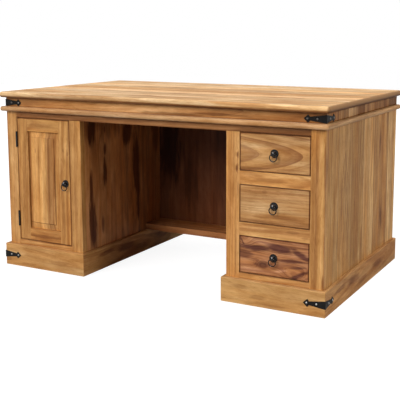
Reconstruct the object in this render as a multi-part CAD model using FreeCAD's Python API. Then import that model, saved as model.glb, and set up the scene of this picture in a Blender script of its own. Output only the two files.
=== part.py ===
import FreeCAD, Part
import os

# A writing desk: two pedestals on plinths carry one boarded top. A panelled door closes the left
# pedestal and three dovetailed drawers fill the right one. Ring pulls, butt hinges and spear-ended
# corner straps are black iron, everything else is solid wood.
# Millimetres. X runs along the desk, the front looks towards -Y, Z is up, and the origin is on the
# floor under the middle of the top.

# Overall size
DESK_WIDTH = 1500.0
DESK_DEPTH = 900.0
DESK_HEIGHT = 760.0

# Top board
TOP_THICKNESS = 25.0
TOP_SIDE_OVERHANG = 20.0
TOP_FRONT_OVERHANG = 25.0
TOP_BACK_OVERHANG = 5.0
TOP_NOSE_RADIUS = 12.0

# Frieze under the top, and the nosed moulding under the frieze
FRIEZE_HEIGHT = 38.0
FRIEZE_THICKNESS = 22.0
MOULDING_THICKNESS = 20.0
MOULDING_SIDE_PROUD = 18.0
MOULDING_FRONT_PROUD = 23.0
MOULDING_SEAT = 45.0
MOULDING_NOSE_RADIUS = 9.5
NOSE_SHARE_LIMIT = 0.48

# Plinth boards, which stand proud of the pedestals and reach a little way under them
PLINTH_HEIGHT = 95.0
PLINTH_SIDE_PROUD = 15.0
PLINTH_FRONT_PROUD = 18.0
PLINTH_SEAT = 14.0
PLINTH_BACK_THICKNESS = 20.0
EASED_CORNER = 3.0

# Pedestals and their face frames
PEDESTAL_WIDTH = 392.0
STILE_WIDTH = 55.0
FRAME_THICKNESS = 28.0
STILE_EDGE_RADIUS = 4.0
TOP_RAIL_HEIGHT = 26.0
BOTTOM_RAIL_HEIGHT = 22.0
DRAWER_RAIL_HEIGHT = 50.0
DRAWER_COUNT = 3
SIDE_THICKNESS = 20.0
BACK_THICKNESS = 15.0
FLOOR_THICKNESS = 18.0
SHELF_THICKNESS = 18.0
SHELF_HEIGHT = 262.0
SHELF_SETBACK = 25.0

# Kneehole
MODESTY_INSET = 240.0
MODESTY_THICKNESS = 18.0
FOOT_SHELF_DEPTH = 130.0
FOOT_SHELF_THICKNESS = 27.0

# Frame joinery
TENON_LENGTH = 18.0
TENON_THICKNESS = 10.0
TENON_SHOULDER = 4.0
STUB_TENON_LENGTH = 12.0
TONGUE = 6.0
HOUSING_DEPTH = 6.0
JOINT_PLAY = 0.2

# Fit of the door and drawer fronts in their openings
FRONT_GAP = 2.0
FRONT_EDGE_RADIUS = 1.5

# Drawers
DRAWER_FRONT_THICKNESS = 20.0
DRAWER_SIDE_THICKNESS = 12.0
DRAWER_SIDE_DROP = 20.0
DRAWER_LENGTH = 560.0
DRAWER_BOTTOM_THICKNESS = 6.0
DRAWER_BOTTOM_RAISE = 12.0
DRAWER_GROOVE = 5.0
SLIDE_PLAY = 0.3
TAIL_COUNT = 3
TAIL_LENGTH = 14.0
TAIL_NECK_SHARE = 0.55
TAIL_FLARE = 2.5
RUNNER_THICKNESS = 20.0
RUNNER_GUIDE_HEIGHT = 18.0
RUNNER_EXTRA_LENGTH = 20.0
STOP_WIDTH = 30.0
STOP_THICKNESS = 6.0
STOP_INSET = 60.0

# Door
DOOR_THICKNESS = 22.0
DOOR_STILE_WIDTH = 56.0
DOOR_RAIL_HEIGHT = 54.0
DOOR_PULL_INSET = 24.0
DOOR_TENON_LENGTH = 40.0
DOOR_TENON_SHOULDER = 10.0
PANEL_EDGE_DEPTH = 9.0
PANEL_EDGE_THICKNESS = 6.0
PANEL_GROOVE_DEPTH = 10.0
PANEL_PLAY = 1.0
PANEL_BEVEL_WIDTH = 28.0
PANEL_BEVEL_RISE = 6.0
PANEL_STEP = 2.0

# Butt hinges
HINGE_LENGTH = 65.0
HINGE_INSET = 92.0
HINGE_BARREL_DIAMETER = 8.0
HINGE_PIN_DIAMETER = 4.0
HINGE_KNUCKLES = 5
HINGE_LEAF_THICKNESS = 2.0
HINGE_LEAF_DEPTH = 18.0
HINGE_PIN_HEAD = 1.2
HINGE_PLAY = 0.3
PIN_PLAY = 0.08

# Door catch
CATCH_WIDTH = 36.0
CATCH_HEIGHT = 12.0
CATCH_DEPTH = 18.0
CATCH_PLATE_THICKNESS = 1.5
CATCH_PLAY = 0.3

# Ring pulls
ROSETTE_DIAMETER = 32.0
ROSETTE_RIM = 1.5
ROSETTE_HEIGHT = 4.5
ROSETTE_SHOULDER_SHARE = 0.7
NECK_DIAMETER = 12.0
HEAD_DIAMETER = 20.0
HEAD_STANDOFF = 3.0
RING_REACH = 4.0
RING_WIRE_DIAMETER = 4.0
RING_PLAY = 0.35
STUD_DIAMETER = 5.0
STUD_LENGTH = 13.0

# Corner straps and their nails
STRAP_THICKNESS = 2.0
STRAP_WIDTH = 30.0
STRAP_NECK_WIDTH = 13.5
STRAP_NECK_REACH = 61.0
STRAP_BARB_REACH = 68.0
STRAP_TIP_REACH = 85.0
STRAP_BARB_RADIUS = 1.5
STRAP_BEND_RADIUS = 2.5
FRIEZE_STRAP_RISE = 16.0
NAIL_REACHES = (33.0, 71.0)
NAIL_HEAD_DIAMETER = 8.0
NAIL_HEAD_HEIGHT = 3.0
NAIL_SHANK_DIAMETER = 2.5
NAIL_SHANK_LENGTH = 12.0

# Places worked out from the sizes above
TOP_FRONT = -DESK_DEPTH / 2
TOP_BACK = DESK_DEPTH / 2
FRONT = TOP_FRONT + TOP_FRONT_OVERHANG
BACK = TOP_BACK - TOP_BACK_OVERHANG
OUTER_X = DESK_WIDTH / 2 - TOP_SIDE_OVERHANG
INNER_X = OUTER_X - PEDESTAL_WIDTH
OPENING_OUT = OUTER_X - STILE_WIDTH
OPENING_IN = INNER_X + STILE_WIDTH
INSIDE_OUT = OUTER_X - SIDE_THICKNESS
INSIDE_IN = INNER_X + SIDE_THICKNESS
HOUSED_OUT = INSIDE_OUT + HOUSING_DEPTH
HOUSED_IN = INSIDE_IN - HOUSING_DEPTH
FRAME_BACK = FRONT + FRAME_THICKNESS
BACK_INSIDE = BACK - BACK_THICKNESS
MODESTY_FRONT = BACK - MODESTY_INSET - MODESTY_THICKNESS
FOOT_SHELF_FRONT = MODESTY_FRONT - FOOT_SHELF_DEPTH

TOP_UNDER = DESK_HEIGHT - TOP_THICKNESS
FRIEZE_UNDER = TOP_UNDER - FRIEZE_HEIGHT
CARCASS_TOP = FRIEZE_UNDER - MOULDING_THICKNESS
OPENING_TOP = CARCASS_TOP - TOP_RAIL_HEIGHT
OPENING_BOTTOM = PLINTH_HEIGHT + BOTTOM_RAIL_HEIGHT
SHELF_UNDER = OPENING_BOTTOM + SHELF_HEIGHT

FRAME_Y = (FRONT, FRAME_BACK)
CARCASS_Z = (PLINTH_HEIGHT, CARCASS_TOP)
TOP_RAIL_Z = (OPENING_TOP, CARCASS_TOP)
BOTTOM_RAIL_Z = (PLINTH_HEIGHT, OPENING_BOTTOM)
RAIL_TOTAL = (DRAWER_COUNT - 1) * DRAWER_RAIL_HEIGHT
DRAWER_OPENING = (OPENING_TOP - OPENING_BOTTOM - RAIL_TOTAL) / DRAWER_COUNT
DRAWER_PITCH = DRAWER_OPENING + DRAWER_RAIL_HEIGHT
DRAWER_BASES = [OPENING_BOTTOM + DRAWER_PITCH * row for row in range(DRAWER_COUNT)]
DRAWER_RAILS_Z = [(base - DRAWER_RAIL_HEIGHT, base) for base in DRAWER_BASES[1:]]

DRAWER_X = (OPENING_IN + FRONT_GAP, OPENING_OUT - FRONT_GAP)
DRAWER_MIDDLE = (OPENING_IN + OPENING_OUT) / 2
DRAWER_FRONT_BACK = FRONT + DRAWER_FRONT_THICKNESS
DRAWER_END = DRAWER_FRONT_BACK + DRAWER_LENGTH
PULL_RISE = DRAWER_OPENING / 2

DOOR_X = (-OPENING_OUT + FRONT_GAP, -OPENING_IN - FRONT_GAP)
DOOR_Y = (FRONT, FRONT + DOOR_THICKNESS)
DOOR_Z = (OPENING_BOTTOM + FRONT_GAP, OPENING_TOP - FRONT_GAP)
DOOR_PANE_X = (DOOR_X[0] + DOOR_STILE_WIDTH, DOOR_X[1] - DOOR_STILE_WIDTH)
DOOR_PANE_Z = (DOOR_Z[0] + DOOR_RAIL_HEIGHT, DOOR_Z[1] - DOOR_RAIL_HEIGHT)
DOOR_PULL_X = DOOR_X[1] - DOOR_PULL_INSET
DOOR_PULL_Z = (DOOR_Z[0] + DOOR_Z[1]) / 2

HINGE_RADIUS = HINGE_BARREL_DIAMETER / 2
HINGE_X = -OPENING_OUT + FRONT_GAP / 2
HINGE_Y = FRONT - HINGE_RADIUS - HINGE_PLAY
HINGE_MIDDLES = (DOOR_Z[0] + HINGE_INSET, DOOR_Z[1] - HINGE_INSET)

HEAD_RADIUS = HEAD_DIAMETER / 2
HEAD_OFFSET = HEAD_STANDOFF + HEAD_RADIUS
RING_RADIUS = HEAD_RADIUS + RING_REACH
RING_WIRE = RING_WIRE_DIAMETER / 2

X_AXIS = FreeCAD.Vector(1, 0, 0)
Y_AXIS = FreeCAD.Vector(0, 1, 0)
Z_AXIS = FreeCAD.Vector(0, 0, 1)
ORIGIN = FreeCAD.Vector(0, 0, 0)
TOUCH = 1e-6


def block(x, y, z):
    """Box between three spans; each span may be given in either order."""
    lows = [min(span) for span in (x, y, z)]
    sizes = [max(span) - min(span) for span in (x, y, z)]
    return Part.makeBox(*sizes, FreeCAD.Vector(*lows))


def widened(span, play):
    """The span with the same play added at both ends."""
    return (min(span) - play, max(span) + play)


def on_side(side, *values):
    """Distances from the desk's middle plane turned into X values, left -1 or right 1."""
    return tuple(side * value for value in values)


def edges_on(shape, x=None, y=None, z=None):
    """Edges that lie wholly on each of the given planes."""
    def lies_on(edge):
        for vertex in edge.Vertexes:
            for value, wanted in zip(vertex.Point, (x, y, z)):
                if wanted is not None and abs(value - wanted) > TOUCH:
                    return False
        return True
    return [edge for edge in shape.Edges if lies_on(edge)]


def prism(points, along):
    """Solid from a closed outline of points, carried along a vector."""
    corners = [FreeCAD.Vector(*point) for point in points]
    return Part.Face(Part.makePolygon(corners + corners[:1])).extrude(along)


def flipped(shape):
    """The same piece on the other side of the desk's middle plane."""
    return shape.mirror(ORIGIN, X_AXIS)


def nose_radius(wanted, thickness):
    """A rounded edge is no rounder than the board is thick."""
    return min(wanted, thickness * NOSE_SHARE_LIMIT)


def desktop():
    """Edge-glued top board with a rounded nose on every side."""
    board = block((-DESK_WIDTH / 2, DESK_WIDTH / 2), (TOP_FRONT, TOP_BACK), (TOP_UNDER, DESK_HEIGHT))
    return board.makeFillet(nose_radius(TOP_NOSE_RADIUS, TOP_THICKNESS), board.Edges)


def mitred_frame(outer_x, outer_y, inner_x, inner_y, z, radius, round_under):
    """Four boards round an opening, mitred at the front corners, as (front, sides, back).
    The outer edges are rounded at the front and sides, and square at the back."""
    plate = block(outer_x, outer_y, z)
    square = edges_on(plate, y=outer_y[1])
    if not round_under:
        square += edges_on(plate, z=z[0])
    rounded = [edge for edge in plate.Edges if not any(edge.isSame(other) for other in square)]
    ring = plate.makeFillet(radius, rounded).cut(block(inner_x, inner_y, z))
    height = FreeCAD.Vector(0, 0, z[1] - z[0])
    mitres = []
    for outer, inner in zip(outer_x, inner_x):
        mitres.append(((outer, outer_y[0], z[0]), (inner, inner_y[0], z[0])))
    front = ring.common(prism([mitres[0][0], mitres[1][0], mitres[1][1], mitres[0][1]], height))
    sides = []
    for (corner, heel), outer, inner in zip(mitres, outer_x, inner_x):
        ends = [(inner, outer_y[1], z[0]), (outer, outer_y[1], z[0])]
        sides.append(ring.common(prism([corner, heel] + ends, height)))
    back = ring.common(block(inner_x, (inner_y[1], outer_y[1]), z))
    return front, sides, back


def moulding():
    """Nosed moulding boards that lie on the carcass and carry the frieze."""
    outer = OUTER_X + MOULDING_SIDE_PROUD
    inner = OUTER_X - MOULDING_SEAT
    return mitred_frame(
        (-outer, outer), (FRONT - MOULDING_FRONT_PROUD, BACK),
        (-inner, inner), (FRONT + MOULDING_SEAT, BACK - MOULDING_SEAT),
        (CARCASS_TOP, FRIEZE_UNDER), nose_radius(MOULDING_NOSE_RADIUS, MOULDING_THICKNESS), True)


def plinth(side):
    """Plinth boards round the foot of one pedestal."""
    outer_x = sorted(on_side(side, INNER_X - PLINTH_SIDE_PROUD, OUTER_X + PLINTH_SIDE_PROUD))
    inner_x = sorted(on_side(side, INNER_X + PLINTH_SEAT, OUTER_X - PLINTH_SEAT))
    return mitred_frame(
        outer_x, (FRONT - PLINTH_FRONT_PROUD, BACK),
        inner_x, (FRONT + PLINTH_SEAT, BACK - PLINTH_BACK_THICKNESS),
        (0, PLINTH_HEIGHT), EASED_CORNER, False)


def frieze():
    """Upright boards between the moulding and the top, as (front, sides, back)."""
    z = (FRIEZE_UNDER, TOP_UNDER)
    behind = FRONT + FRIEZE_THICKNESS
    within = OUTER_X - FRIEZE_THICKNESS
    front = block((-OUTER_X, OUTER_X), (FRONT, behind), z)
    corners = edges_on(front, x=-OUTER_X, y=FRONT) + edges_on(front, x=OUTER_X, y=FRONT)
    front = front.makeFillet(EASED_CORNER, corners)
    sides = [block(on_side(side, within, OUTER_X), (behind, BACK), z) for side in (-1, 1)]
    back = block((-within, within), (BACK - FRIEZE_THICKNESS, BACK), z)
    return front, sides, back


def tenon(shoulder_x, way, rail_z, play=0.0):
    """Tenon on a rail's end, pointing along X; with play it is the mortise."""
    middle = (FRONT + FRAME_BACK) / 2
    half = TENON_THICKNESS / 2 + play
    z = widened((rail_z[0] + TENON_SHOULDER, rail_z[1] - TENON_SHOULDER), play)
    return block((shoulder_x, shoulder_x + way * (TENON_LENGTH + play)), (middle - half, middle + half), z)


def tenoned_rail(x, z):
    """Face-frame rail with a tenon at each end."""
    x = (min(x), max(x))
    return block(x, FRAME_Y, z).fuse([tenon(x[0], -1, z), tenon(x[1], 1, z)]).removeSplitter()


def stub_tenon(side, play=0.0):
    """Tenon on top of an inner stile, which stands under the long top rail."""
    middle = (FRONT + FRAME_BACK) / 2
    half = TENON_THICKNESS / 2 + play
    x = widened(on_side(side, INNER_X + TENON_THICKNESS, OPENING_IN - TENON_THICKNESS), play)
    return block(x, (middle - half, middle + half), (OPENING_TOP, OPENING_TOP + STUB_TENON_LENGTH + play))


def tongue(side, panel_x, stile_top, play=0.0):
    """Tongue on a side panel's front edge; with play it is the groove in the stile's back."""
    middle = side * sum(panel_x) / 2
    half = TONGUE / 2 + play
    return block((middle - half, middle + half), (FRAME_BACK - TONGUE - play, FRAME_BACK),
                 (PLINTH_HEIGHT, stile_top))


OUTER_PANEL = (INSIDE_OUT, OUTER_X)
INNER_PANEL = (INNER_X, INSIDE_IN)


def rails_beside(side):
    """Heights of the rails that meet both stiles of a pedestal."""
    return [BOTTOM_RAIL_Z] + (DRAWER_RAILS_Z if side > 0 else [])


def outer_stile(side):
    """Outer stile, as tall as the carcass, with its front corner rounded over."""
    post = block(on_side(side, OPENING_OUT, OUTER_X), FRAME_Y, CARCASS_Z)
    post = post.makeFillet(STILE_EDGE_RADIUS, edges_on(post, x=side * OUTER_X, y=FRONT))
    mortises = [tenon(side * OPENING_OUT, side, z, JOINT_PLAY) for z in rails_beside(side) + [TOP_RAIL_Z]]
    return post.cut(mortises + [tongue(side, OUTER_PANEL, CARCASS_TOP, JOINT_PLAY)])


def inner_stile(side):
    """Inner stile, which stands under the long top rail."""
    post = block(on_side(side, INNER_X, OPENING_IN), FRAME_Y, (PLINTH_HEIGHT, OPENING_TOP))
    post = post.fuse(stub_tenon(side)).removeSplitter()
    mortises = [tenon(side * OPENING_IN, -side, z, JOINT_PLAY) for z in rails_beside(side)]
    return post.cut(mortises + [tongue(side, INNER_PANEL, OPENING_TOP, JOINT_PLAY)])


def top_rail():
    """Rail along the whole front between the outer stiles, over both pedestals and the kneehole."""
    rail = tenoned_rail((-OPENING_OUT, OPENING_OUT), TOP_RAIL_Z)
    return rail.cut([stub_tenon(side, JOINT_PLAY) for side in (-1, 1)])


def housed_board(side, y, z, play=0.0):
    """Board between the sides of a pedestal, let into both; with play it is the housing."""
    x = (HOUSED_IN - play + JOINT_PLAY, HOUSED_OUT + play - JOINT_PLAY)
    return block(on_side(side, *x), y, (z[0], z[1] + play))


BACK_PANEL_Y = (BACK_INSIDE, BACK)
TOP_PANEL_Y = (FRAME_BACK, BACK_INSIDE)
TOP_PANEL_Z = (CARCASS_TOP - FLOOR_THICKNESS, CARCASS_TOP)
FLOOR_Y = (FRAME_BACK, BACK_INSIDE)
FLOOR_Z = (OPENING_BOTTOM - FLOOR_THICKNESS, OPENING_BOTTOM)
SHELF_Y = (FRAME_BACK + SHELF_SETBACK, BACK_INSIDE)
SHELF_Z = (SHELF_UNDER, SHELF_UNDER + SHELF_THICKNESS)


def side_panel(side, panel_x, stile_top):
    """Upright side of a pedestal: tongued into its stile, rebated for the back and the closing board
    on top, and on the left housed for the cabinet's floor and shelf."""
    panel = block(on_side(side, *panel_x), (FRAME_BACK, BACK), CARCASS_Z)
    panel = panel.fuse(tongue(side, panel_x, stile_top)).removeSplitter()
    housings = [housed_board(side, BACK_PANEL_Y, CARCASS_Z, JOINT_PLAY)]
    housings.append(housed_board(side, TOP_PANEL_Y, TOP_PANEL_Z, JOINT_PLAY))
    if side < 0:
        housings.append(housed_board(side, FLOOR_Y, FLOOR_Z, JOINT_PLAY))
        housings.append(housed_board(side, SHELF_Y, SHELF_Z, JOINT_PLAY))
    return panel.cut(housings)


def modesty_panel():
    """Board across the back of the kneehole, from the plinth ledges to the underside of the top."""
    y = (MODESTY_FRONT, MODESTY_FRONT + MODESTY_THICKNESS)
    return block((-INNER_X, INNER_X), y, (PLINTH_HEIGHT, TOP_UNDER))


def foot_shelf():
    """Low shelf across the kneehole, lying on the plinth ledges before the modesty panel."""
    z = (PLINTH_HEIGHT, PLINTH_HEIGHT + FOOT_SHELF_THICKNESS)
    board = block((-INNER_X, INNER_X), (FOOT_SHELF_FRONT, MODESTY_FRONT), z)
    return board.makeFillet(EASED_CORNER, edges_on(board, y=FOOT_SHELF_FRONT, z=z[1]))


def drawer_runners():
    """Pair of L-shaped runners for each drawer: a bed under the drawer side and a guide beside it."""
    bed_width = STILE_WIDTH - SIDE_THICKNESS + FRONT_GAP + DRAWER_SIDE_THICKNESS
    guide_width = STILE_WIDTH - SIDE_THICKNESS
    y = (FRAME_BACK, FRAME_BACK + DRAWER_LENGTH + RUNNER_EXTRA_LENGTH)
    runners = []
    for base in DRAWER_BASES:
        for wall, way in ((INSIDE_IN, 1), (INSIDE_OUT, -1)):
            bed = block((wall, wall + way * bed_width), y, (base - RUNNER_THICKNESS, base))
            guide = block((wall, wall + way * guide_width), y, (base, base + RUNNER_GUIDE_HEIGHT))
            runners.append(bed.fuse(guide).removeSplitter())
    return runners


def drawer_stops():
    """Two small blocks on each rail, which stop the drawer's front flush with the frame."""
    y = (DRAWER_FRONT_BACK + SLIDE_PLAY, FRAME_BACK)
    stops = []
    for base in DRAWER_BASES:
        for way in (-1, 1):
            middle = DRAWER_MIDDLE + way * STOP_INSET
            x = (middle - STOP_WIDTH / 2, middle + STOP_WIDTH / 2)
            stops.append(block(x, y, (base, base + STOP_THICKNESS)))
    return stops


def strap_leg():
    """Outline of one strap leg as (reach from the bend, height off the middle): a straight taper to
    the neck, then a barbed spear head."""
    half = STRAP_WIDTH / 2
    neck = STRAP_NECK_WIDTH / 2
    upper = [(-STRAP_THICKNESS, half), (0, half), (STRAP_NECK_REACH, neck), (STRAP_BARB_REACH, half)]
    lower = [(reach, -height) for reach, height in reversed(upper)]
    return upper + [(STRAP_TIP_REACH, 0)] + lower


def strap(corner_x, corner_y, middle_z):
    """Iron strap bent round a right-hand front corner, with a spear on each face."""
    outline = strap_leg()
    front = prism([(corner_x - reach, corner_y, middle_z + height) for reach, height in outline],
                  FreeCAD.Vector(0, -STRAP_THICKNESS, 0))
    side = prism([(corner_x, corner_y + reach, middle_z + height) for reach, height in outline],
                 FreeCAD.Vector(STRAP_THICKNESS, 0, 0))
    barbs = []
    for height in (-STRAP_WIDTH / 2, STRAP_WIDTH / 2):
        barbs.append(edges_on(front, x=corner_x - STRAP_BARB_REACH, z=middle_z + height))
        barbs.append(edges_on(side, y=corner_y + STRAP_BARB_REACH, z=middle_z + height))
    front = front.makeFillet(STRAP_BARB_RADIUS, barbs[0] + barbs[2])
    side = side.makeFillet(STRAP_BARB_RADIUS, barbs[1] + barbs[3])
    bent = front.fuse(side).removeSplitter()
    bend = edges_on(bent, x=corner_x + STRAP_THICKNESS, y=corner_y - STRAP_THICKNESS)
    return bent.makeFillet(nose_radius(STRAP_BEND_RADIUS, 2 * STRAP_THICKNESS), bend)


def nail_places(corner_x, corner_y, middle_z):
    """Where each nail's head sits on a right-hand strap, and the way it points out."""
    places = []
    for reach in NAIL_REACHES:
        on_front = FreeCAD.Vector(corner_x - reach, corner_y - STRAP_THICKNESS, middle_z)
        on_flank = FreeCAD.Vector(corner_x + STRAP_THICKNESS, corner_y + reach, middle_z)
        places.append((on_front, -Y_AXIS))
        places.append((on_flank, X_AXIS))
    return places


def nail(place, outwards):
    """Domed nail: a low round head and a shank through the strap into the wood."""
    head_radius = NAIL_HEAD_DIAMETER / 2
    ball_radius = (head_radius ** 2 + NAIL_HEAD_HEIGHT ** 2) / (2 * NAIL_HEAD_HEIGHT)
    ball = Part.makeSphere(ball_radius, FreeCAD.Vector(0, 0, NAIL_HEAD_HEIGHT - ball_radius))
    head = ball.common(Part.makeCylinder(NAIL_HEAD_DIAMETER, NAIL_HEAD_HEIGHT))
    shank = Part.makeCylinder(NAIL_SHANK_DIAMETER / 2, NAIL_SHANK_LENGTH, ORIGIN, -Z_AXIS)
    return set_down(head.fuse(shank).removeSplitter(), place, outwards)


def nail_hole(place, outwards):
    """Room for a nail's shank."""
    radius = NAIL_SHANK_DIAMETER / 2 + JOINT_PLAY
    return Part.makeCylinder(radius, NAIL_SHANK_LENGTH + JOINT_PLAY, place, -outwards)


def set_down(shape, place, outwards):
    """Turns a piece modelled along +Z to point outwards, and moves it to its place."""
    turned = shape.copy()
    turned.Placement = FreeCAD.Placement(place, FreeCAD.Rotation(Z_AXIS, outwards))
    return turned


def hinge_leaf(way, owned):
    """One leaf of a butt hinge about the Z axis, closed: a plate beside the gap's middle, running
    back along Y, and the knuckles that it owns. way is -1 for the frame leaf and 1 for the door's."""
    pitch = HINGE_LENGTH / HINGE_KNUCKLES
    plate_x = (way * HINGE_PLAY / 2, way * (HINGE_PLAY / 2 + HINGE_LEAF_THICKNESS))
    leaf_end = HINGE_RADIUS + HINGE_PLAY + HINGE_LEAF_DEPTH
    bore = HINGE_PIN_DIAMETER / 2 + PIN_PLAY
    leaf = block(plate_x, (bore, leaf_end), (0, HINGE_LENGTH))
    for knuckle in range(HINGE_KNUCKLES):
        low = knuckle * pitch
        high = low + pitch
        if knuckle in owned:
            inset = HINGE_PLAY / 2
            low += inset if knuckle > 0 else 0
            high -= inset if knuckle < HINGE_KNUCKLES - 1 else 0
            leaf = leaf.fuse(Part.makeCylinder(HINGE_RADIUS, high - low, FreeCAD.Vector(0, 0, low)))
        else:
            reach = HINGE_RADIUS + HINGE_PLAY
            leaf = leaf.cut(block((-reach, reach), (-reach, reach), (low, high)))
    return leaf.cut(Part.makeCylinder(bore, HINGE_LENGTH)).removeSplitter()


def hinge_pin():
    """Hinge pin with a button head at each end."""
    pin = Part.makeCylinder(HINGE_PIN_DIAMETER / 2, HINGE_LENGTH)
    head_radius = (HINGE_RADIUS + HINGE_PIN_DIAMETER / 2) / 2
    for start in (-HINGE_PIN_HEAD, HINGE_LENGTH):
        pin = pin.fuse(Part.makeCylinder(head_radius, HINGE_PIN_HEAD, FreeCAD.Vector(0, 0, start)))
    return pin.removeSplitter()


def at_hinges(piece):
    """Copies of a hinge piece at both hinges of the door."""
    copies = []
    for middle in HINGE_MIDDLES:
        copies.append(piece.translated(FreeCAD.Vector(HINGE_X, HINGE_Y, middle - HINGE_LENGTH / 2)))
    return copies


def leaf_recess(way):
    """Shallow recesses for the hinge leaves, in the edge of the stile (-1) or of the door (1)."""
    x = (0, way * (HINGE_PLAY / 2 + HINGE_LEAF_THICKNESS))
    y = (HINGE_RADIUS, HINGE_RADIUS + HINGE_PLAY + HINGE_LEAF_DEPTH + JOINT_PLAY)
    return at_hinges(block(x, y, widened((0, HINGE_LENGTH), JOINT_PLAY)))


def pull(face_x, face_z):
    """Iron pull standing on a front: rosette, neck and ball head, with a stud into the wood. The hole
    across the head is flared to the circle that the turning ring sweeps."""
    rim = ROSETTE_DIAMETER / 2
    edge = [FreeCAD.Vector(0, 0, 0), FreeCAD.Vector(rim, 0, 0), FreeCAD.Vector(rim, 0, ROSETTE_RIM)]
    crown = FreeCAD.Vector(0, 0, ROSETTE_HEIGHT)
    shoulder = FreeCAD.Vector(rim * ROSETTE_SHOULDER_SHARE, 0, (ROSETTE_RIM + ROSETTE_HEIGHT) / 2)
    dome = Part.Arc(edge[2], shoulder, crown).toShape()
    profile = Part.Wire(Part.makePolygon(edge).Edges + [dome, Part.makeLine(crown, edge[0])])
    rosette = Part.Face(profile).revolve(ORIGIN, Z_AXIS, 360)
    neck = Part.makeCylinder(NECK_DIAMETER / 2, HEAD_OFFSET)
    head = Part.makeSphere(HEAD_RADIUS, FreeCAD.Vector(0, 0, HEAD_OFFSET))
    stud = Part.makeCylinder(STUD_DIAMETER / 2, STUD_LENGTH, ORIGIN, -Z_AXIS)
    whole = rosette.fuse([neck, head, stud]).removeSplitter().cut(ring_hole())
    return set_down(whole, FreeCAD.Vector(face_x, FRONT, face_z), -Y_AXIS)


def ring_hole():
    """Trumpet-mouthed hole along X through a pull's head. Its wall is the inner circle of the ring,
    less the play, turned about the hole's own axis."""
    sweep = RING_RADIUS - RING_WIRE - RING_PLAY
    end = HEAD_RADIUS + RING_PLAY
    mouth = RING_RADIUS - (sweep ** 2 - end ** 2) ** 0.5
    throat = RING_RADIUS - sweep
    wall = Part.Arc(FreeCAD.Vector(end, mouth, 0), FreeCAD.Vector(0, throat, 0),
                    FreeCAD.Vector(-end, mouth, 0)).toShape()
    base = Part.makePolygon([(-end, mouth, 0), (-end, 0, 0), (end, 0, 0), (end, mouth, 0)])
    hole = Part.Face(Part.Wire([wall] + base.Edges)).revolve(ORIGIN, X_AXIS, 360)
    return hole.translated(FreeCAD.Vector(0, 0, HEAD_OFFSET))


def stud_hole(face_x, face_z):
    """Blind hole in a front for a pull's stud."""
    radius = STUD_DIAMETER / 2 + JOINT_PLAY
    return Part.makeCylinder(radius, STUD_LENGTH + JOINT_PLAY, FreeCAD.Vector(face_x, FRONT, face_z), Y_AXIS)


def ring(face_x, face_z):
    """Ring hanging from the middle of a pull's head."""
    centre = FreeCAD.Vector(face_x, FRONT - HEAD_OFFSET, face_z - RING_RADIUS)
    return Part.makeTorus(RING_RADIUS, RING_WIRE, centre, Y_AXIS)


def tails(x, shoulder_y, way, length, z, play=0.0):
    """Row of dovetails on the end of a drawer side; with play they are the sockets."""
    pitch = (z[1] - z[0]) / TAIL_COUNT
    neck = pitch * TAIL_NECK_SHARE / 2 + play
    end = neck + TAIL_FLARE
    thickness = FreeCAD.Vector(max(x) - min(x), 0, 0)
    tip_y = shoulder_y + way * (length + play)
    row = []
    for number in range(TAIL_COUNT):
        middle = z[0] + pitch * (number + 0.5)
        outline = [(min(x), shoulder_y, middle - neck), (min(x), tip_y, middle - end),
                   (min(x), tip_y, middle + end), (min(x), shoulder_y, middle + neck)]
        row.append(prism(outline, thickness))
    return row


def drawer(base):
    """One drawer as (front, box walls, bottom), standing over the rail whose top is base. The sides
    are dovetailed into the front and through the back, and the bottom slides in under the back."""
    front_z = (base + FRONT_GAP, base + DRAWER_OPENING - FRONT_GAP)
    side_z = (base + SLIDE_PLAY, front_z[1] - DRAWER_SIDE_DROP)
    bottom_z = (base + DRAWER_BOTTOM_RAISE, base + DRAWER_BOTTOM_RAISE + DRAWER_BOTTOM_THICKNESS)
    back_z = (bottom_z[1], side_z[1])
    back_y = (DRAWER_END - DRAWER_SIDE_THICKNESS, DRAWER_END)
    joint_z = (front_z[0], side_z[1])
    front = block(DRAWER_X, (FRONT, DRAWER_FRONT_BACK), front_z)
    front = front.makeFillet(FRONT_EDGE_RADIUS, edges_on(front, y=FRONT))
    back = block(DRAWER_X, back_y, back_z)
    bottom_x = (DRAWER_X[0] + DRAWER_SIDE_THICKNESS - DRAWER_GROOVE,
                DRAWER_X[1] - DRAWER_SIDE_THICKNESS + DRAWER_GROOVE)
    bottom_y = (DRAWER_FRONT_BACK - DRAWER_GROOVE, DRAWER_END)
    groove = block(widened(bottom_x, JOINT_PLAY), (bottom_y[0] - JOINT_PLAY, DRAWER_END),
                   (bottom_z[0], bottom_z[1] + JOINT_PLAY))
    sides = []
    sockets = []
    for end, way in zip(DRAWER_X, (1, -1)):
        x = sorted((end, end + way * DRAWER_SIDE_THICKNESS))
        socket_x = sorted((end, end + way * (DRAWER_SIDE_THICKNESS + JOINT_PLAY)))
        side = block(x, (DRAWER_FRONT_BACK, back_y[0]), side_z)
        front_tails = tails(x, DRAWER_FRONT_BACK, -1, TAIL_LENGTH, joint_z)
        back_tails = tails(x, back_y[0], 1, DRAWER_SIDE_THICKNESS, back_z)
        sides.append(side.fuse(front_tails + back_tails).removeSplitter().cut(groove))
        sockets += tails(socket_x, DRAWER_FRONT_BACK, -1, TAIL_LENGTH, joint_z, JOINT_PLAY)
        sockets += tails(socket_x, back_y[0], 1, DRAWER_SIDE_THICKNESS, back_z, JOINT_PLAY)
    front = front.cut(sockets + [groove, stud_hole(DRAWER_MIDDLE, base + PULL_RISE)])
    back = back.cut(sockets)
    bottom = block(bottom_x, bottom_y, bottom_z)
    return front, sides + [back], bottom


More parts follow.
